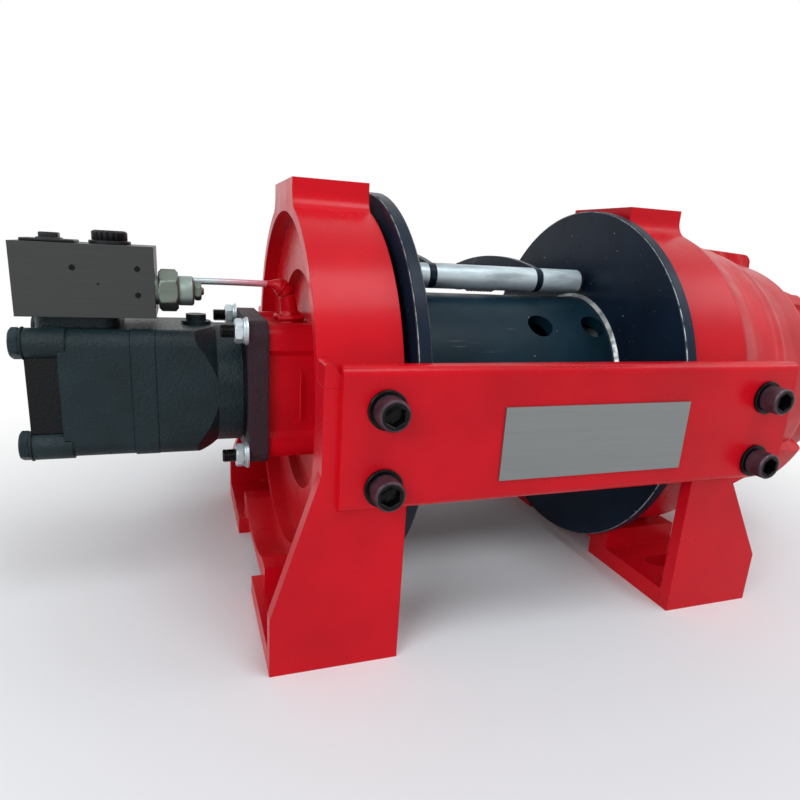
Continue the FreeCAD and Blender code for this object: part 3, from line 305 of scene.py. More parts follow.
def painted_sand_casting(name, colour, low, high, shaded_end=-1.0):
    """Semi-gloss paint on a sand casting: sand grain of about 2 mm breaks up its highlights.

    Real grain is under 1 mm and is drawn larger, to show. Past the shaded end it is almost black: painted
    shade.
    """
    tree, shader = new_material(name, IOR=1.5, Specular_IOR_Level=0.2)
    base = shade(tree, shader, grain(tree, 30, 4), tint(colour, 0.8), tint(colour, 1.25))
    # Painted shade: past the given end along X the colour is almost black, for the shade on the motor's
    # recessed rear.
    painted_shade = add(tree, MATHS, {0: place_of(tree)["X"], 1: shaded_end}, operation="LESS_THAN")
    overlay(tree, shader, painted_shade, base, tint(colour, 0.06))
    polish(tree, shader, grain(tree, 300, 2), low, high)
    relief(tree, shader, grain(tree, 460, 4), 0.8, 0.0012, 0.0018)


def black_oxide(colour):
    """Black oxide on forged steel: brownish black with a dull shine, its grain drawn 1 mm wide, to show."""
    tree, shader = new_material("black_oxide_on_forged_steel", Metallic=0.5, Specular_IOR_Level=0.3)
    shade(tree, shader, grain(tree, 120, 4), tint(colour, 0.85), tint(colour, 1.7))
    polish(tree, shader, grain(tree, 260, 2), 0.3, 0.5)
    relief(tree, shader, grain(tree, 900, 2), 0.08, 0.0004, 0.0005)


def zinc_plate(name, colour, spots, patch, metal):
    """Zinc plate on steel: pale grey metal, with long clouds of spots where it has dulled.

    The clouds are one over the patch value wide, in metres, and its fine grain is drawn 0.8 mm wide, to show.
    """
    tree, shader = new_material(name, Metallic=metal)
    cloud = grain(tree, patch, 5, (0.22, 1, 1), (0.3, 0.1, 0.2))
    shade(tree, shader, cloud, tint(colour, spots), tint(colour, 1.05), (0.4, 0.58))
    polish(tree, shader, grain(tree, 220, 2), 0.34, 0.5)
    relief(tree, shader, grain(tree, 1200, 2), 0.06, 0.0003)


def milled_steel(colour):
    """Milled and browned steel of a valve block: flat grey with faint cutter lines along it.

    The lines are drawn 1.8 mm apart on upright faces and 5 mm apart on level ones, which is as fine as shows.
    """
    tree, shader = new_material("milled_steel_block", Metallic=0.25, Specular_IOR_Level=0.3)
    lines = grain(tree, 40, 4, (0.5, 5, 14))
    shade(tree, shader, lines, tint(colour, 0.94), tint(colour, 1.05))
    polish(tree, shader, grain(tree, 60, 3, (0.4, 3, 6)), 0.42, 0.5)
    relief(tree, shader, lines, 0.03, 0.0002, 0.0009)


def brushed_steel(colour):
    """Brushed stainless sheet: lines along the plate stretch its highlights, drawn 2.4 mm apart, to show."""
    tree, shader = new_material("brushed_stainless_sheet", Metallic=0.85)
    lines = grain(tree, 260, 4, (0.04, 1, 1.6))
    shade(tree, shader, lines, tint(colour, 0.95), tint(colour, 1.03))
    polish(tree, shader, lines, 0.34, 0.46)
    relief(tree, shader, lines, 0.06, 0.0002)


def moulded_plastic(colour):
    """Moulded black nylon: dull black with a light satin texture, drawn 0.7 mm wide, to show."""
    tree, shader = new_material("moulded_black_nylon", IOR=1.53, Specular_IOR_Level=0.3)
    shade(tree, shader, grain(tree, 60, 3), tint(colour, 0.8), tint(colour, 1.5))
    polish(tree, shader, grain(tree, 400, 2), 0.34, 0.5)
    relief(tree, shader, grain(tree, 1500, 2), 0.12, 0.0003, 0.0004)


def oily_black():
    """Oiled black steel of studs, washers and plugs, and painted shade in the screw sockets: almost black with
    small sharp glints.
    """
    tree, shader = new_material("oily_black_steel", Metallic=0.0, Specular_IOR_Level=0.15)
    shade(tree, shader, grain(tree, 300, 3), tint(linear("#040304")), tint(linear("#110e11")))
    polish(tree, shader, grain(tree, 500, 2), 0.2, 0.4)


def tube_paint(zinc):
    """Drawn steel tube with overspray towards the bracket: silver that turns pink and then light red."""
    tree, shader = new_material("drawn_tube_with_overspray")
    spray = grain(tree, 400, 3)
    wander = add(tree, MATHS, {0: spray, 1: 0.5}, operation="SUBTRACT")
    wander = add(tree, MATHS, {0: wander, 1: 0.03}, operation="MULTIPLY")
    along = add(tree, MATHS, {0: place_of(tree)["X"], 1: wander}, operation="ADD")
    fade = add(tree, MAP_RANGE, {0: along, 1: OVERSPRAY[0], 2: OVERSPRAY[1]})
    shades = [(0.0, tint(zinc, 0.7)), (0.5, tint(linear("#c39aa2"))), (1.0, tint(linear("#dd7d88")))]
    ramp = add(tree, RAMP, {"Fac": fade}, shades)
    tree.links.new(ramp.outputs["Color"], shader.inputs["Base Color"])
    steel = add(tree, MAP_RANGE, {0: along, 1: OVERSPRAY[0], 2: OVERSPRAY[1], 3: 0.9, 4: 0.0})
    tree.links.new(steel.outputs[0], shader.inputs["Metallic"])
    polish(tree, shader, spray, 0.28, 0.5)
    relief(tree, shader, spray, 0.1, 0.0004)


def finishes():
    """All materials by name, made once from the colours of the scene."""
    colours, soften = bpy.context.scene.winch_colours, bpy.context.scene.winch_sizes.edge_soften
    if "gloss_enamel_on_steel" not in bpy.data.materials:
        enamel_on_steel(colours, soften)
        enamel_on_casting(colours, soften)
        drum_paint("satin_paint_on_turned_steel", colours.flange, colours.bare, sheen=0.3)
        drum_paint("satin_paint_on_rolled_barrel", colours.drum, colours.bare, sheen=0.34)
        painted_sand_casting("painted_sand_casting", colours.casting, low=0.3, high=0.5)
        painted_sand_casting("primed_sand_casting", colours.mounting, low=0.5, high=0.7)
        # The motor's rear housing: almost black past its end, as painted shade.
        painted_sand_casting("sand_casting_with_painted_shade", colours.casting, low=0.3, high=0.5,
                             shaded_end=MOTOR_SHADED_END)
        black_oxide(colours.blackening)
        zinc_plate("bright_zinc_plate", colours.zinc, spots=0.8, patch=60, metal=0.7)
        # Lighter zinc of the fitting's collar: a painted highlight.
        zinc_plate("zinc_plate_with_painted_highlight", colours.collar, spots=0.75, patch=30, metal=0.75)
        zinc_plate("dulled_zinc_plate", colours.zinc, spots=0.55, patch=60, metal=0.3)
        zinc_plate("oiled_zinc_plate", colours.fitting, spots=0.8, patch=60, metal=0.85)
        milled_steel(colours.block)
        brushed_steel(colours.plate)
        moulded_plastic(colours.moulding)
        oily_black()
        tube_paint(colours.zinc)
    return bpy.data.materials


FINISH_OF_SLOT = {
    "red_paint": "gloss_enamel_on_steel",
    "black_drum_steel": "satin_paint_on_turned_steel",
    "motor_cast_iron": "painted_sand_casting",
    "black_oxide_steel": "black_oxide_on_forged_steel",
    "zinc_plated_steel": "bright_zinc_plate",
    "machined_steel": "milled_steel_block",
    "brushed_plate": "brushed_stainless_sheet",
    "black_plastic": "moulded_black_nylon",
}
FINISH_OF_NODE = {
    "gearbox_shoulder": "gloss_enamel_on_casting",
    "gearbox_housing": "gloss_enamel_on_casting",
    "gearbox_end_cover": "gloss_enamel_on_casting",
    "gearbox_end_cap": "gloss_enamel_on_casting",
    "motor_adapter_hub": "gloss_enamel_on_casting",
    "drum_barrel": "satin_paint_on_rolled_barrel",
    "motor_flange": "primed_sand_casting",
    # Painted shade darkens its recessed rear end to almost black.
    "motor_rear_housing": "sand_casting_with_painted_shade",
    "roller_sleeves": "dulled_zinc_plate",
    "roller_axle": "satin_paint_on_turned_steel",
}


def piece(name, parts, finish, body, replaced=(), smooth=35.0):
    """One object of closed grids in mm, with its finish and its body."""
    faces, first = [], 0
    for points, quads, ends in parts:
        faces += (quads + first).tolist() + (ends + first).tolist()
        first += len(points)
    mesh = bpy.data.meshes.new(name)
    mesh.from_pydata((np.concatenate([part[0] for part in parts]) / 1000).tolist(), [], faces)
    mesh.update()
    item = bpy.data.objects.new(name, mesh)
    bpy.context.scene.collection.objects.link(item)
    mesh.materials.append(finishes()[finish])
    mesh.shade_smooth()
    mesh.set_sharp_from_angle(angle=math.radians(smooth))
    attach(item, body)
    if replaced:
        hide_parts(*replaced)
    return item


def paint_socket_shade(item, mouths, radius, depth):
    """Gives the almost black finish to faces in sockets along Y, within a radius and a depth of the mouths, as
    painted shade.
    """
    mesh = item.data
    mesh.materials.append(finishes()["oily_black_steel"])
    middles = np.empty(len(mesh.polygons) * 3)
    mesh.polygons.foreach_get("center", middles)
    middles = middles.reshape(-1, 3) * 1000
    inside = np.zeros(len(middles), bool)
    for x, y, z in mouths:
        near = np.hypot(middles[:, 0] - x, middles[:, 2] - z) < radius
        inwards = abs(y) + 0.01 - middles[:, 1] * np.sign(y)
        inside |= near & (inwards > 0) & (inwards < depth)
    mesh.polygons.foreach_set("material_index", inside.astype(np.int32))


def closed_grid(points):
    """A tube of points (rows, columns, 3): quads between rows r and r + 1, and a fan at each end."""
    rows, columns = points.shape[:2]
    turn = np.arange(columns)
    ahead = (turn + 1) % columns
    round_it = np.stack((turn, ahead, ahead + columns, turn + columns), axis=1)
    quads = (np.arange(rows - 1)[:, None, None] * columns + round_it).reshape(-1, 4)
    first_middle, last_row = rows * columns, (rows - 1) * columns
    ends = np.concatenate((
        np.stack((np.full(columns, first_middle), ahead, turn), axis=1),
        np.stack((np.full(columns, first_middle + 1), turn + last_row, ahead + last_row), axis=1)))
    return np.concatenate((points.reshape(-1, 3), points[[0, -1]].mean(axis=1))), quads, ends


def turned(profile, origin, axis, side, columns=48, spin=0.0):
    """A body of rows (along, radius): origin + axis * along + radius * (cos a * side + sin a * other).

    The angle a goes round the columns, and a radius is one number or an array with one for each column.
    """
    along, radii = zip(*profile)
    radii = np.stack([np.broadcast_to(radius, columns) for radius in radii])
    angle = np.arange(columns)[:, None] / columns * FULL_TURN + spin
    round_it = np.cos(angle) * side + np.sin(angle) * np.cross(axis, side)
    middle = np.asarray(origin, float) + np.reshape(along, (-1, 1, 1)) * axis
    return closed_grid(middle + radii[..., None] * round_it)


def hex_radius(flats, columns, spin=0.0):
    """Radius of a hexagon: half the width across its flats over the cosine of the angle from a flat."""
    angle = np.arange(columns) / columns * FULL_TURN + spin
    return flats / 2 / np.cos((angle + math.pi / 6) % (math.pi / 3) - math.pi / 6)


def hexagon(start, stop, flats, chamfer, origin, spin=0.0):
    """A hexagon bar along X, chamfered: the smaller of the hexagon's radius and that of a cone at each end.

    The cone grows from 0.97 of half the flats to the corners over the chamfer's length.
    """
    low, corner = flats / 2 * 0.97, flats / 2 / math.cos(math.pi / 6)
    step = np.array((0.0, 0.35, 0.7, 1.0))
    cone = low + (corner - low) * step
    limit = np.concatenate((cone, cone[::-1]))[:, None]
    along = np.concatenate((start + step * chamfer, stop - step[::-1] * chamfer))
    return turned(zip(along, np.minimum(hex_radius(flats, 72, spin), limit)), origin, X, Y, 72, spin)


def carried(path, radius, sides=8):
    """A circle carried along a path: point + radius * (cos a * side + sin a * other), both square to it."""
    path = np.asarray(path, float)
    ahead = np.gradient(path, axis=0)
    ahead /= np.linalg.norm(ahead, axis=1)[:, None]
    side = np.cross(np.where(np.abs(ahead[:, 2:]) > 0.9, Y, Z), ahead)
    side /= np.linalg.norm(side, axis=1)[:, None]
    angle = np.arange(sides)[:, None] / sides * FULL_TURN
    round_it = np.cos(angle) * side[:, None] + np.sin(angle) * np.cross(ahead, side)[:, None]
    return closed_grid(path[:, None] + np.reshape(radius, (-1, 1, 1)) * round_it)


def resampled(path, places, marks):
    """Points on the path at the given marks, where places says the mark of each point of the path."""
    return np.stack([np.interp(marks, places, path[:, k]) for k in range(3)], axis=1)


def bead(path, radius, seed):
    """A weld bead: a circle of radius * uneven * (1 + 0.12 |sin(pi s / 3.4)|), s in mm along the path."""
    path = np.asarray(path, float)
    length = np.concatenate(((0.0,), np.cumsum(np.linalg.norm(np.diff(path, axis=0), axis=1))))
    even = np.linspace(0, length[-1], max(12, int(length[-1] / 1.1)))
    chance = np.random.default_rng(seed)
    uneven = np.interp(even, np.linspace(0, length[-1], 14), chance.uniform(0.82, 1.12, 14))
    ripple = 1 + 0.12 * np.abs(np.sin(even / 3.4 * math.pi))
    ends = np.clip(np.minimum(even, length[-1] - even) / radius, 0.15, 1) ** 0.5
    return carried(resampled(path, length, even), radius * uneven * ripple * ends, 10)


def line(start, stop, count=24):
    """Points on a straight line: start + t * (stop - start), t from none to one."""
    return np.linspace(np.asarray(start, float), np.asarray(stop, float), count)


def rounded_block(low, high, corner, edge):
    """A block with the plan signs * (half - corner) + corner * (cos a, sin a), softened at top and bottom.

    The rows there draw in by edge * (1 - sin t) while they rise by edge * (1 - cos t), a quarter circle.
    """
    low, high = np.asarray(low, float), np.asarray(high, float)
    middle, half = (low + high) / 2, (high - low) / 2
    angle = (np.arange(48) + 0.5) / 48 * FULL_TURN
    quarter = np.stack((np.cos(angle), np.sin(angle)), axis=1)
    plan = np.sign(quarter) * (half[:2] - corner) + quarter * corner
    turn = np.radians(np.linspace(0, 90, 5))
    inset = np.concatenate((edge * (1 - np.sin(turn)), edge * (1 - np.cos(turn))))
    level = np.concatenate((low[2] + edge * (1 - np.cos(turn)), high[2] - edge * (1 - np.sin(turn))))
    flat = middle[:2] + plan * (1 - inset[:, None, None] / half[:2])
    height = np.broadcast_to(level[:, None, None], flat.shape[:2] + (1,))
    return closed_grid(np.concatenate((flat, height), axis=2))


def soft_maximum(one, two, blend):
    """The larger of two heights, with their meeting rounded over the blend length."""
    near = np.clip(0.5 + 0.5 * (one - two) / blend, 0, 1)
    return two + (one - two) * near + blend * near * (1 - near) * 0.5


def eased(value):
    """A step from none to one with soft ends: v * v * (3 - 2 v)."""
    value = np.clip(value, 0, 1)
    return value ** 2 * (3 - 2 * value)


def lumps(along, span, angles, halves, tops, ground, rounding):
    """Radius of lumps on a turned body: low + (crest - low) * eased(distance inside a lump's width).

    A lump's half width and crest run between two values along the span. The crest rises from the ground at
    its start and falls in a quarter circle of the rounding at its end; low is sunk below the ground.
    """
    start, stop = span
    rise, edge, sunk = 14.0, 3.0, 8
    angle = np.arange(360) / 360 * FULL_TURN
    half = np.interp(along, span, halves)[:, None]
    into = np.clip((stop - along) / rounding, 0, 1)
    crest = np.interp(along, span, tops) - rounding * (1 - np.sqrt(1 - (1 - into) ** 2))
    crest = np.where(along <= stop, ground + (crest - ground) * eased((along - start) / rise), 0)
    low = ground[:, None] - sunk
    result = np.zeros((len(along), 360))
    for middle in angles:
        away = np.abs((angle - math.radians(middle) + math.pi) % FULL_TURN - math.pi) * tops[0]
        result = np.maximum(result, low + (crest[:, None] - low) * eased((half - away) / edge + 0.5))
    return result


def box_of(node):
    """Lowest and highest corner of a CAD node, in mm."""
    low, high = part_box(node)
    return np.array(low) * 1000, np.array(high) * 1000


class WINCH_OT_finishes(bpy.types.Operator):
    """Gives every node of the frame the finish of its real surface"""

    bl_idname = "winch.finishes"
    bl_label = "Frame finishes"

    def execute(self, context):
        materials = finishes()
        for name, item in frame["nodes"].items():
            finish = FINISH_OF_NODE.get(name, FINISH_OF_SLOT[SLOTS[name]])
            item.data.materials.clear()
            item.data.materials.append(materials[finish])
        return {"FINISHED"}


class WINCH_OT_cap_screws(bpy.types.Operator):
    """Makes the eight knurled socket screws of the tie channels, with their washers"""

    bl_idname = "winch.cap_screws"
    bl_label = "Tie cap screws"

    def execute(self, context):
        sizes = context.scene.winch_sizes
        columns, teeth = 144, 48
        top, face = box_of("tie_cap_screws")[1][1], box_of("tie_screw_washers")[1][1]
        head, seat = 12.0, top - 16.0
        angle = np.arange(columns) / columns * FULL_TURN
        # Knurling: the head's radius less depth * (1 + cos(48 a)).
        knurl = head - sizes.knurl_depth * 1000 * (1 + np.cos(angle * teeth))
        plain = head - 0.2
        socket = hex_radius(sizes.socket_width * 1000, columns)
        screw = [(seat - 18, 8.0), (seat, 8.0), (seat, 11.2), (seat + 0.7, plain), (seat + 1.4, knurl),
                 (top - 4.2, knurl), (top - 3.6, plain), (top - 1.5, plain), (top - 0.5, head - 0.9),
                 (top, head - 2.0), (top, socket + 0.7), (top - 0.6, socket), (top - 9, socket),
                 (top - 9.5, socket * 0.6), (top - 11, 0.4)]
        washer = [(face - 3, 8.3), (face - 3, 14.5), (face - 2.6, 15), (face - 0.5, 15), (face, 14.3),
                  (face - 0.1, 8.3)]
        screws = [turned(screw, (x, 0, z), Y * side, X, columns) for x, z, side in TIE_SCREWS]
        washers = [turned(washer, (x, 0, z), Y * side, X, 64) for x, z, side in TIE_SCREWS]
        item = piece("knurled_cap_screws", screws, "black_oxide_on_forged_steel", "frame",
                     ("tie_cap_screws",), 25)
        # Painted shade: the faces deep in the sockets take the almost black finish.
        paint_socket_shade(item, [(x, side * top, z) for x, z, side in TIE_SCREWS], radius=9.95, depth=13)
        piece("turned_washers", washers, "oily_black_steel", "frame",
              ("tie_screw_washers",))
        return {"FINISHED"}


class WINCH_OT_motor_fasteners(bpy.types.Operator):
    """Makes the threaded studs and chamfered nuts of the motor flange and its end bolts"""

    bl_idname = "winch.motor_fasteners"
    bl_label = "Motor studs, nuts and bolts"

    def execute(self, context):
        pitch = context.scene.winch_sizes.stud_pitch * 1000
        low, high = box_of("motor_studs")
        outer, depth, columns = 6.0, 0.75, 32
        angle = np.arange(columns) / columns
        length = high[0] - low[0]
        along = np.arange(0.0, length, pitch / 8)
        # Thread: outer - depth * wave, the wave a triangle in along / pitch less the part of a turn.
        wave = np.abs(((along[:, None] / pitch - angle) % 1) * 2 - 1)
        taper = 4.9 + 1.1 * np.clip(np.minimum(along, length - along) / 1.4, 0, 1)[:, None]
        thread = list(zip(along, np.minimum(outer - depth * wave, taper)))
        studs = [turned(thread, (low[0], y, z), X, Y, columns) for y, z in STUDS]
        piece("threaded_studs", studs, "oily_black_steel", "frame", ("motor_studs",), 50)

        low, high = box_of("motor_stud_nuts")
        start, seat = low[0], low[0] + 7.2
        washer = [(seat, 6.2), (seat, 10.4), (seat + 0.3, 10.8), (seat + 1.6, 10.8), (seat + 1.8, 10.4),
                  (seat + 1.8, 11.6), (seat + 2.2, 12.0), (high[0], 12.0)]
        nuts = []
        for y, z in STUDS:
            nuts.append(hexagon(start, seat, 19.0, 1.3, (0, y, z), math.pi / 6))
            nuts.append(turned(washer, (0, y, z), X, Y))
        piece("chamfered_nuts", nuts, "bright_zinc_plate", "frame", ("motor_stud_nuts",))

        low, high = box_of("motor_end_bolt_bosses")
        start, seat, stop = low[0], low[0] + 8, high[0] + 1
        boss = [(seat, 9), (seat, 13), (seat + 0.5, 13.4), (seat + 1.5, 13.4), (seat + 1.5, 12),
                (seat + 2.5, 12.5), (stop, 12.5), (stop, 9)]
        bolts = []
        for y, z in END_BOLTS:
            bolts.append(hexagon(start, seat, 22.5, 1.6, (0, y, z)))
            bolts.append(turned(boss, (0, y, z), X, Y))
        piece("end_bolts_and_bosses", bolts, "painted_sand_casting", "frame",
              ("motor_end_bolt_bosses",))
        return {"FINISHED"}


class WINCH_OT_springs(bpy.types.Operator):
    """Winds the two torsion springs of the tensioner"""

    bl_idname = "winch.springs"
    bl_label = "Tensioner springs"

    def execute(self, context):
        wire, length = context.scene.winch_sizes.wire_radius * 1000, 44
        low, high = box_of("tensioner_springs")
        y, z = (low[1:] + high[1:]) / 2
        radius = (high[1] - low[1]) / 2 - wire
        turns = length / (wire * 2.2)
        t = np.linspace(0, 1, int(turns * 22))
        angle = t * turns * FULL_TURN
        parts = []
        # Coil: evenly along X while it goes round by radius * (cos a, sin a).
        for start in (low[0], high[0] - length):
            path = np.stack((start + wire + t * (length - 2 * wire), y + radius * np.cos(angle),
                             z + radius * np.sin(angle)), axis=1)
            parts.append(carried(path, wire))
        piece("wound_springs", parts, "satin_paint_on_turned_steel", "frame",
              ("tensioner_springs",), 60)
        return {"FINISHED"}


class WINCH_OT_valve_details(bpy.types.Operator):
    """Makes the socket plugs, the cover with its knob, the ribbed cap and the drain plug"""

    bl_idname = "winch.valve_details"
    bl_label = "Valve block details"

    def execute(self, context):
        front = box_of("valve_block")[0][1]
        plugs = []
        for x, above, size in ((-381.6, 104.0, 2.3), (-333.5, 104.6, 2.3), (-333.8, 83.4, 2.3),
                               (-363.4, 91.8, 0.8)):
            socket = hex_radius(size, 48)
            plug = [(-0.4, size), (0.0, size), (0.25, size), (0.4, size * 0.9), (0.4, socket * 1.1),
                    (0.08, socket), (0.06, socket * 0.02)]
            plugs.append(turned(plug, (x, front, AXIS + above), -Y, X))
        piece("socket_plugs", plugs, "oily_black_steel", "frame")

        low, high = box_of("valve_cover_plate")
        base = rounded_block(low, (high[0], high[1], low[2] + 2.5), 2.5, 0.8)
        x, y, z = low + (12, 10, 1)
        knob = rounded_block((x, y, z), (x + 14.5, y + 14.5, high[2]), 3.0, 1.1)
        foot = rounded_block((x - 2, y - 2, z), (x + 16.5, y + 16.5, z + 2.6), 4, 0.9)
        piece("cover_with_knob", [base, foot, knob], "moulded_black_nylon", "frame",
              ("valve_cover_plate",))

        low, high = box_of("valve_ribbed_cap")
        centre = ((low[0] + high[0]) / 2, (low[1] + high[1]) / 2, low[2])
        columns, count = 240, 20
        angle = np.arange(columns) / columns * FULL_TURN
        # Flutes: 14 - 1.5 * 1.6 cos(20 a), the cosine's part held between none and one.
        ribs = 14.0 - 1.5 * np.clip(np.cos(angle * count) * 1.6, 0, 1)
        cap = [(0, 16.2), (0.3, 16.5), (2.6, 16.5), (3.0, 15.8), (3.0, ribs - 0.4), (3.6, ribs), (9.6, ribs),
               (10.6, ribs - 0.9), (11.2, 11.4), (11.0, 10.2), (10.4, 9.6), (10.4, 0.5)]
        piece("fluted_cap", [turned(cap, centre, Z, X, columns)], "moulded_black_nylon", "frame",
              ("valve_ribbed_cap",))

        place = (-287.5, 0, box_of("motor_front_housing")[1][2] - 0.3)
        socket = hex_radius(8.0, 48)
        drain = [(-0.6, 9.0), (0.0, 9.05), (0.15, 9.0), (0.35, 8.2), (0.35, socket * 1.08), (-0.4, socket),
                 (-0.5, 0.2)]
        piece("drain_plug_socket", [turned(drain, place, Z, X)], "black_oxide_on_forged_steel", "frame")
        return {"FINISHED"}


class WINCH_OT_brake_line(bpy.types.Operator):
    """Makes the port fitting, the thin brake tube and its elbow on the adapter hub"""

    bl_idname = "winch.brake_line"
    bl_label = "Brake line"

    def execute(self, context):
        low, high = box_of("port_fitting")
        x, place = low[0], (0, (low[1] + high[1]) / 2, (low[2] + high[2]) / 2)
        collar = [(x + 18, 9), (x + 18.5, 12.1), (x + 19.3, 12.5), (x + 29.8, 12.5), (x + 31.2, 11.2),
                  (x + 31.5, 8)]
        # The collar's lighter zinc is a painted highlight.
        piece("fitting_collar", [turned(collar, place, X, Y, 64)], "zinc_plate_with_painted_highlight", "frame")
        parts = [
            turned([(x, 10), (x, 12.2), (x + 2.6, 12.2)], place, X, Y),
            hexagon(x + 2.5, x + 18.5, 31.0, 2.4, place, math.pi / 6),
            hexagon(x + 31.4, x + 37.4, 14.0, 1.2, place),
            turned([(x + 37.3, 3.6), (x + 37.4, 3.6), (x + 38.8, 3.2), (high[0], 2.4)], place, X, Y, 32)]
        piece("chamfered_fitting", parts, "oiled_zinc_plate", "frame", ("port_fitting",))

        low, high = box_of("brake_tube")
        level = (low[2] + high[2]) / 2
        # Tube: straight along X, bowed upwards by 0.7 * sin(pi t).
        t = np.linspace(0, 1, 60)
        path = np.stack((low[0] + t * (high[0] - low[0] + 2), 0 * t, level + 0.7 * np.sin(t * math.pi)),
                        axis=1)
        piece("drawn_tube", [carried(path, 3.0, 20)], "drawn_tube_with_overspray", "frame",
              ("brake_tube",))

        # Elbow: a bend of 75 degrees whose radius flares by a power of the way along it. Its rim is a leaning
        # circle, and at its foot beads run round a mound of weld metal.
        start, reach = box_of("brake_elbow")[0][0] - 4.0, 15
        bend = np.radians(np.linspace(0, 75, 14))
        curve = np.stack((start + 6 + reach * np.sin(bend), 0 * bend, level - reach * (1 - np.cos(bend))),
                         axis=1)
        path = np.concatenate(([(start, 0, level), (start + 3, 0, level)], curve,
                               [(start + 25, 0, AXIS + 56)]))
        flare = 2.9 + 4.9 * np.clip(np.linspace(0, 1, len(path)) * 2.6, 0, 1) ** 1.4
        lip, lean, around = 8.0, math.radians(35), np.radians(np.linspace(0, 360, 60))
        rim = np.stack((start + 15 + lip * np.cos(around) * math.sin(lean), lip * np.sin(around),
                        level - 3 + lip * np.cos(around) * math.cos(lean)), axis=1)
        around = np.arange(40) / 40 * FULL_TURN
        uneven = 1 + 0.08 * np.sin(3 * around + 1) + 0.05 * np.sin(7 * around)
        heap = [(AXIS + above, radius * uneven) for above, radius in (
            (55, 1.0), (56, 13.5), (58.5, 12.6), (61, 11.2), (64, 9.8), (67, 8.8), (68.5, 8.0), (69, 1.0))]
        foot = start + 23
        parts = [carried(path, flare, 32), carried(rim, 0.55), turned(heap, (foot, 0, 0), Z, X, 40)]
        chance = np.random.default_rng(11)
        for number in range(7):
            around = np.radians(np.linspace(0, 70, 14) + number * 52)
            away = 10.5 + chance.uniform(-1.0, 4.0)
            height = AXIS + 61 + chance.uniform(0.0, 9.0) * (number % 2)
            run = np.stack((foot + away * np.cos(around), away * np.sin(around),
                            height + np.linspace(0, chance.uniform(-1, 3), 14)), axis=1)
            parts.append(bead(run, chance.uniform(1.6, 2.6), number))
        piece("welded_elbow", parts, "gloss_enamel_on_casting", "frame", ("brake_elbow",), 50)
        return {"FINISHED"}


class WINCH_OT_gearbox_castings(bpy.types.Operator):
    """Casts the gearbox housing with its ears and the end cover with its lugs as soft-edged surfaces"""

    bl_idname = "winch.gearbox_castings"
    bl_label = "Gearbox castings"

    def execute(self, context):
        inner, face = box_of("gearbox_shoulder")[0][0], box_of("right_ring_housing")[1][0]
        start, stop = (corner[0] for corner in box_of("gearbox_housing"))
        # The ground is a profile of cast steps, averaged over 3 mm to each side. Ears or lugs stand on it,
        # and the ends turn flat at the closing radius.
        closing = 40.0
        body = np.concatenate(([face + 0.01], np.linspace(face + 0.02, stop, 130), [stop]))
        steps = face + np.array((-9, 0, 11, 22, 23.5, 38, 60, 62, 75, 79, 98, 131, 136, 136.5, 144))
        heights = (170, 170, 166, 161.5, 160.6, 157, 152.6, 151.5, 149, 146.5, 141.5, 135, 131, 104, 104)
        ground = np.mean([np.interp(body + shift, steps, heights) for shift in range(-3, 4)], axis=0)
        rim = body > face + 131
        ground[rim] = np.interp(body[rim], steps, heights)
        ears = lumps(body, (start + 2, stop), (90, 210, 330), (28, 20), (152.6, 147.5), ground, 13.0)
        radii = soft_maximum(ground[:, None], ears, 3.0)
        radii[0], radii[-1] = RING_BORE, closing
        rows = [(inner, closing), (inner, RING_BORE), *zip(body, radii)]
        piece("cast_gearbox_housing", [turned(rows, (0, 0, AXIS), X, Y, 360)], "gloss_enamel_on_casting",
              "frame", ("gearbox_housing", "gearbox_shoulder"), 40)

        start, stop = (corner[0] for corner in box_of("gearbox_end_cover"))
        body = np.concatenate(([start], np.linspace(start, stop, 90), [stop]))
        ground = np.interp(body, start + np.array((0, 56, 64, 70, 74, 76)), (113.5, 111, 109.5, 106, 101, 93))
        lugs = lumps(body, (start - 10, start + 58), np.arange(6) * 60 + 1, (12, 12), (120.0, 115.5), ground,
                     7.0)
        radii = soft_maximum(ground[:, None], lugs, 2.0)
        radii[[0, -1]] = closing
        cover = turned(zip(body, radii), (0, 0, AXIS), X, Y, 360)
        piece("cast_end_cover", [cover], "gloss_enamel_on_casting", "frame",
              ("gearbox_end_cover",), 40)
        return {"FINISHED"}


class WINCH_OT_weld_beads(bpy.types.Operator):
    """Lays the painted weld beads along the joints of the brackets and channels"""

    bl_idname = "winch.weld_beads"
    bl_label = "Weld beads"

    def execute(self, context):
        radius = context.scene.winch_sizes.weld_radius * 1000
        above = 36
        reach = math.sqrt(RING_RADIUS ** 2 - above ** 2) + 0.6
        base_edge, base_top = 175, 18.5
        paths = []
        for left, right in RING_SPANS:
            for side in (-1, 1):
                paths.append(line((left, reach * side, AXIS + above), (right, reach * side, AXIS + above)))
                paths.append(line((left, base_edge * side, base_top), (right, base_edge * side, base_top)))
        foot, edge, turn = -183, 58.0, 40.0
        for one, two in (((-edge, -turn), (-edge, turn)), ((-turn, edge), (turn, edge)),
                         ((edge, -turn), (edge, turn)), ((-turn, -edge), (turn, -edge))):
            paths.append(line((foot, one[0], AXIS + one[1]), (foot, two[0], AXIS + two[1])))
        parts = [bead(path, radius, seed) for seed, path in enumerate(paths)]
        piece("painted_weld_beads", parts, "gloss_enamel_on_casting", "frame")
        return {"FINISHED"}


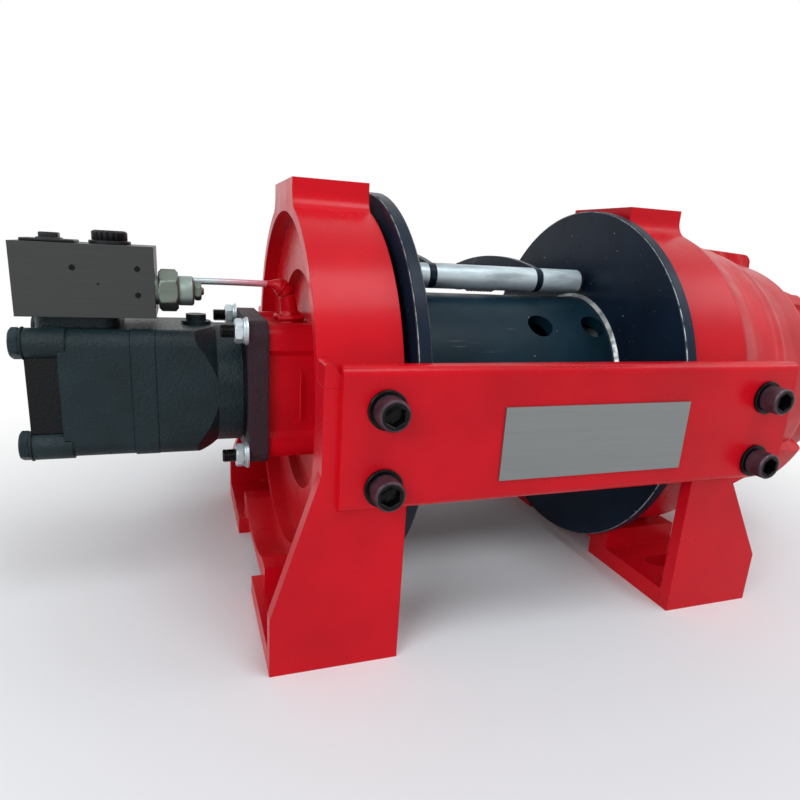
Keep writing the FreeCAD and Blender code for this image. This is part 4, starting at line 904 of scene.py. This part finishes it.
class WINCH_OT_paint_runs(bpy.types.Operator):
    """Adds the mitred corners of the left legs and the runs and ridges in their paint"""

    bl_idname = "winch.paint_runs"
    bl_label = "Mitred corners and paint runs"

    def execute(self, context):
        left = box_of("left_ring_housing")[0][0]
        plate_face = 187.53
        depths = plate_face - np.array((24.0, 14.0, 4.0, 0.0))
        outline = np.array(((0.3, 230.5), (0.3, 246.5), (1.5, 248), (5.5, 248.3), (15.6, 234.0),
                            (15.6, 230.5)))
        crest = ((5.5, 248.3), (10.5, 241.5), (15.6, 234.2))
        # Corner: its outline in X and Z, carried inwards from the plate. A ridge lies on its crest, and a drop
        # of paint runs down beside it.
        parts = []
        for side in (-1.0, 1.0):
            wedge = np.empty((len(depths), len(outline), 3))
            wedge[..., 0], wedge[..., 2] = left + outline[:, 0], outline[:, 1]
            wedge[..., 1] = np.sort(side * depths)[:, None]
            parts.append(closed_grid(wedge))
            face = plate_face * side
            ridge = np.array([(left + x, face, z) for x, z in crest])
            parts.append(carried(resampled(ridge, range(3), np.linspace(0, 2, 16)), 0.55))
            parts.append(bead(line((left + 15.9, face, 240), (left + 16.2, face, 162), 30), 0.8, 5))

        # Run on the hub: straight down, its radius swelling by the root of sin(pi t), its end turned aside.
        hub_side = box_of("motor_adapter_hub")[0][1]
        t = np.linspace(0, 1, 30)
        run = np.stack((-200.2 - 16 * t * np.maximum(t - 0.9, 0), np.full(30, hub_side), 217 - 48 * t),
                       axis=1)
        parts.append(carried(run, 0.5 + 0.5 * np.sin(np.clip(t * 1.05, 0, 1) * math.pi) ** 0.5))

        # Ridge along the bend of the tie: 38 degrees round it, wandering by a product of two sines of x.
        low, high = box_of("front_tie_channel")
        bend = 7.0
        reach = bend + 0.05
        x = np.linspace(-34.0, 50.0, 170)
        lift = math.radians(38) + 0.16 * np.sin(x * 0.9) * np.sin(x * 0.21)
        path = np.stack((x, low[1] + bend - reach * np.sin(lift), high[2] - bend + reach * np.cos(lift)),
                        axis=1)
        parts.append(carried(path, 0.16 + 0.2 * np.abs(np.sin(x * 1.1) * np.sin(x * 0.13 + 0.5))))
        piece("mitred_corners", parts, "gloss_enamel_on_steel", "frame")
        return {"FINISHED"}


class WINCH_OT_stage(bpy.types.Operator):
    """Sets the pale floor, the soft studio light and the camera"""

    bl_idname = "winch.stage"
    bl_label = "Stage and camera"

    def execute(self, context):
        scene = context.scene
        floor = bpy.data.meshes.new("floor")
        floor.from_pydata([(-8, -8, 0), (8, -8, 0), (8, 8, 0), (-8, 8, 0)], [], [(0, 1, 2, 3)])
        ground = bpy.data.objects.new("floor", floor)
        scene.collection.objects.link(ground)
        # The floor takes the winch's shadow, and turns plain white with distance for what sees it directly.
        tree, shader = new_material("pale_studio_floor", Base_Color=(0.86, 0.86, 0.86, 1), Roughness=0.7)
        where = add(tree, "ShaderNodeTexCoord")
        far = add(tree, "ShaderNodeVectorMath", {0: where.outputs["Object"]}, operation="LENGTH")
        fade = add(tree, MAP_RANGE, {"Value": far.outputs["Value"], "From Min": 0.25, "From Max": 0.9},
                   interpolation_type="SMOOTHSTEP")
        seen = add(tree, MATHS, {0: fade, 1: seen_directly(tree)}, operation="MULTIPLY")
        white = add(tree, "ShaderNodeEmission", {"Color": (1, 1, 1, 1), "Strength": 1.0})
        both = add(tree, "ShaderNodeMixShader", {0: seen, 1: shader, 2: white})
        tree.links.new(both.outputs[0], tree.nodes["Material Output"].inputs["Surface"])
        floor.materials.append(bpy.data.materials["pale_studio_floor"])

        world = bpy.data.worlds.new("soft_studio")
        scene.world = world
        world.use_nodes = True
        tree = world.node_tree
        room = add(tree, "ShaderNodeBackground", {"Color": (0.93, 0.96, 1.0, 1), "Strength": 0.37})
        back = add(tree, "ShaderNodeBackground", {"Color": (1, 1, 1, 1), "Strength": 1.0})
        both = add(tree, "ShaderNodeMixShader", {0: seen_directly(tree), 1: room, 2: back})
        tree.links.new(both.outputs[0], tree.nodes["World Output"].inputs["Surface"])

        for name, place, aim, width, power in (
                ("front_softbox", (-1.75, -1.45, 1.4), (0, 0, 0.2), 1.3, 27),
                ("top_softbox", (0.32, -0.85, 2.1), (0, 0, 0.2), 0.85, 15),
                ("right_softbox", (1.75, -0.5, 1.6), (0.1, 0, 0.2), 0.8, 6)):
            lamp = bpy.data.lights.new(name, "AREA")
            lamp.energy = power
            lamp.size = width
            lamp.color = (0.9, 0.95, 1.0)
            light = bpy.data.objects.new(name, lamp)
            scene.collection.objects.link(light)
            light.location = place
            light.rotation_euler = (Vector(aim) - Vector(place)).to_track_quat("-Z", "Y").to_euler()

        lens = bpy.data.cameras.new("camera")
        camera = bpy.data.objects.new("camera", lens)
        scene.collection.objects.link(camera)
        camera.matrix_world = Matrix((
            (0.94853, 0.0333, -0.31493, -0.30191),
            (-0.31195, 0.26954, -0.91106, -0.59205),
            (0.05455, 0.96241, 0.26606, 0.32848),
            (0, 0, 0, 1)))
        lens.lens = 27.357
        lens.shift_x = 0.01899
        lens.shift_y = 0.01797
        lens.clip_start = 0.01
        scene.camera = camera
        scene.view_settings.view_transform = "Standard"
        return {"FINISHED"}


OPERATORS = (
    WINCH_OT_stage,
    WINCH_OT_finishes,
    WINCH_OT_cap_screws,
    WINCH_OT_motor_fasteners,
    WINCH_OT_springs,
    WINCH_OT_valve_details,
    WINCH_OT_brake_line,
    WINCH_OT_gearbox_castings,
    WINCH_OT_weld_beads,
    WINCH_OT_paint_runs,
)


class WINCH_PT_sidebar(bpy.types.Panel):
    """Lists the sizes, the colours and the steps of the winch"""

    bl_idname = "WINCH_PT_sidebar"
    bl_label = "Hydraulic winch"
    bl_space_type = "VIEW_3D"
    bl_region_type = "UI"
    bl_category = "Winch"

    def draw(self, context):
        for group in (context.scene.winch_sizes, context.scene.winch_colours):
            box = self.layout.box()
            for name in group.__annotations__:
                box.prop(group, name)
        for operator in OPERATORS:
            self.layout.operator(operator.bl_idname)


CLASSES = (WinchSizes, WinchColours) + OPERATORS + (WINCH_PT_sidebar,)


def register():
    for item in CLASSES:
        bpy.utils.register_class(item)
    bpy.types.Scene.winch_sizes = PointerProperty(type=WinchSizes)
    bpy.types.Scene.winch_colours = PointerProperty(type=WinchColours)


def unregister():
    del bpy.types.Scene.winch_colours
    del bpy.types.Scene.winch_sizes
    for item in reversed(CLASSES):
        bpy.utils.unregister_class(item)


def main():
    """Registers the add-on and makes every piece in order."""
    register()
    bpy.ops.winch.stage()
    bpy.ops.winch.finishes()
    bpy.ops.winch.cap_screws()
    bpy.ops.winch.motor_fasteners()
    bpy.ops.winch.springs()
    bpy.ops.winch.valve_details()
    bpy.ops.winch.brake_line()
    bpy.ops.winch.gearbox_castings()
    bpy.ops.winch.weld_beads()
    bpy.ops.winch.paint_runs()


if __name__ == "__main__":
    main()
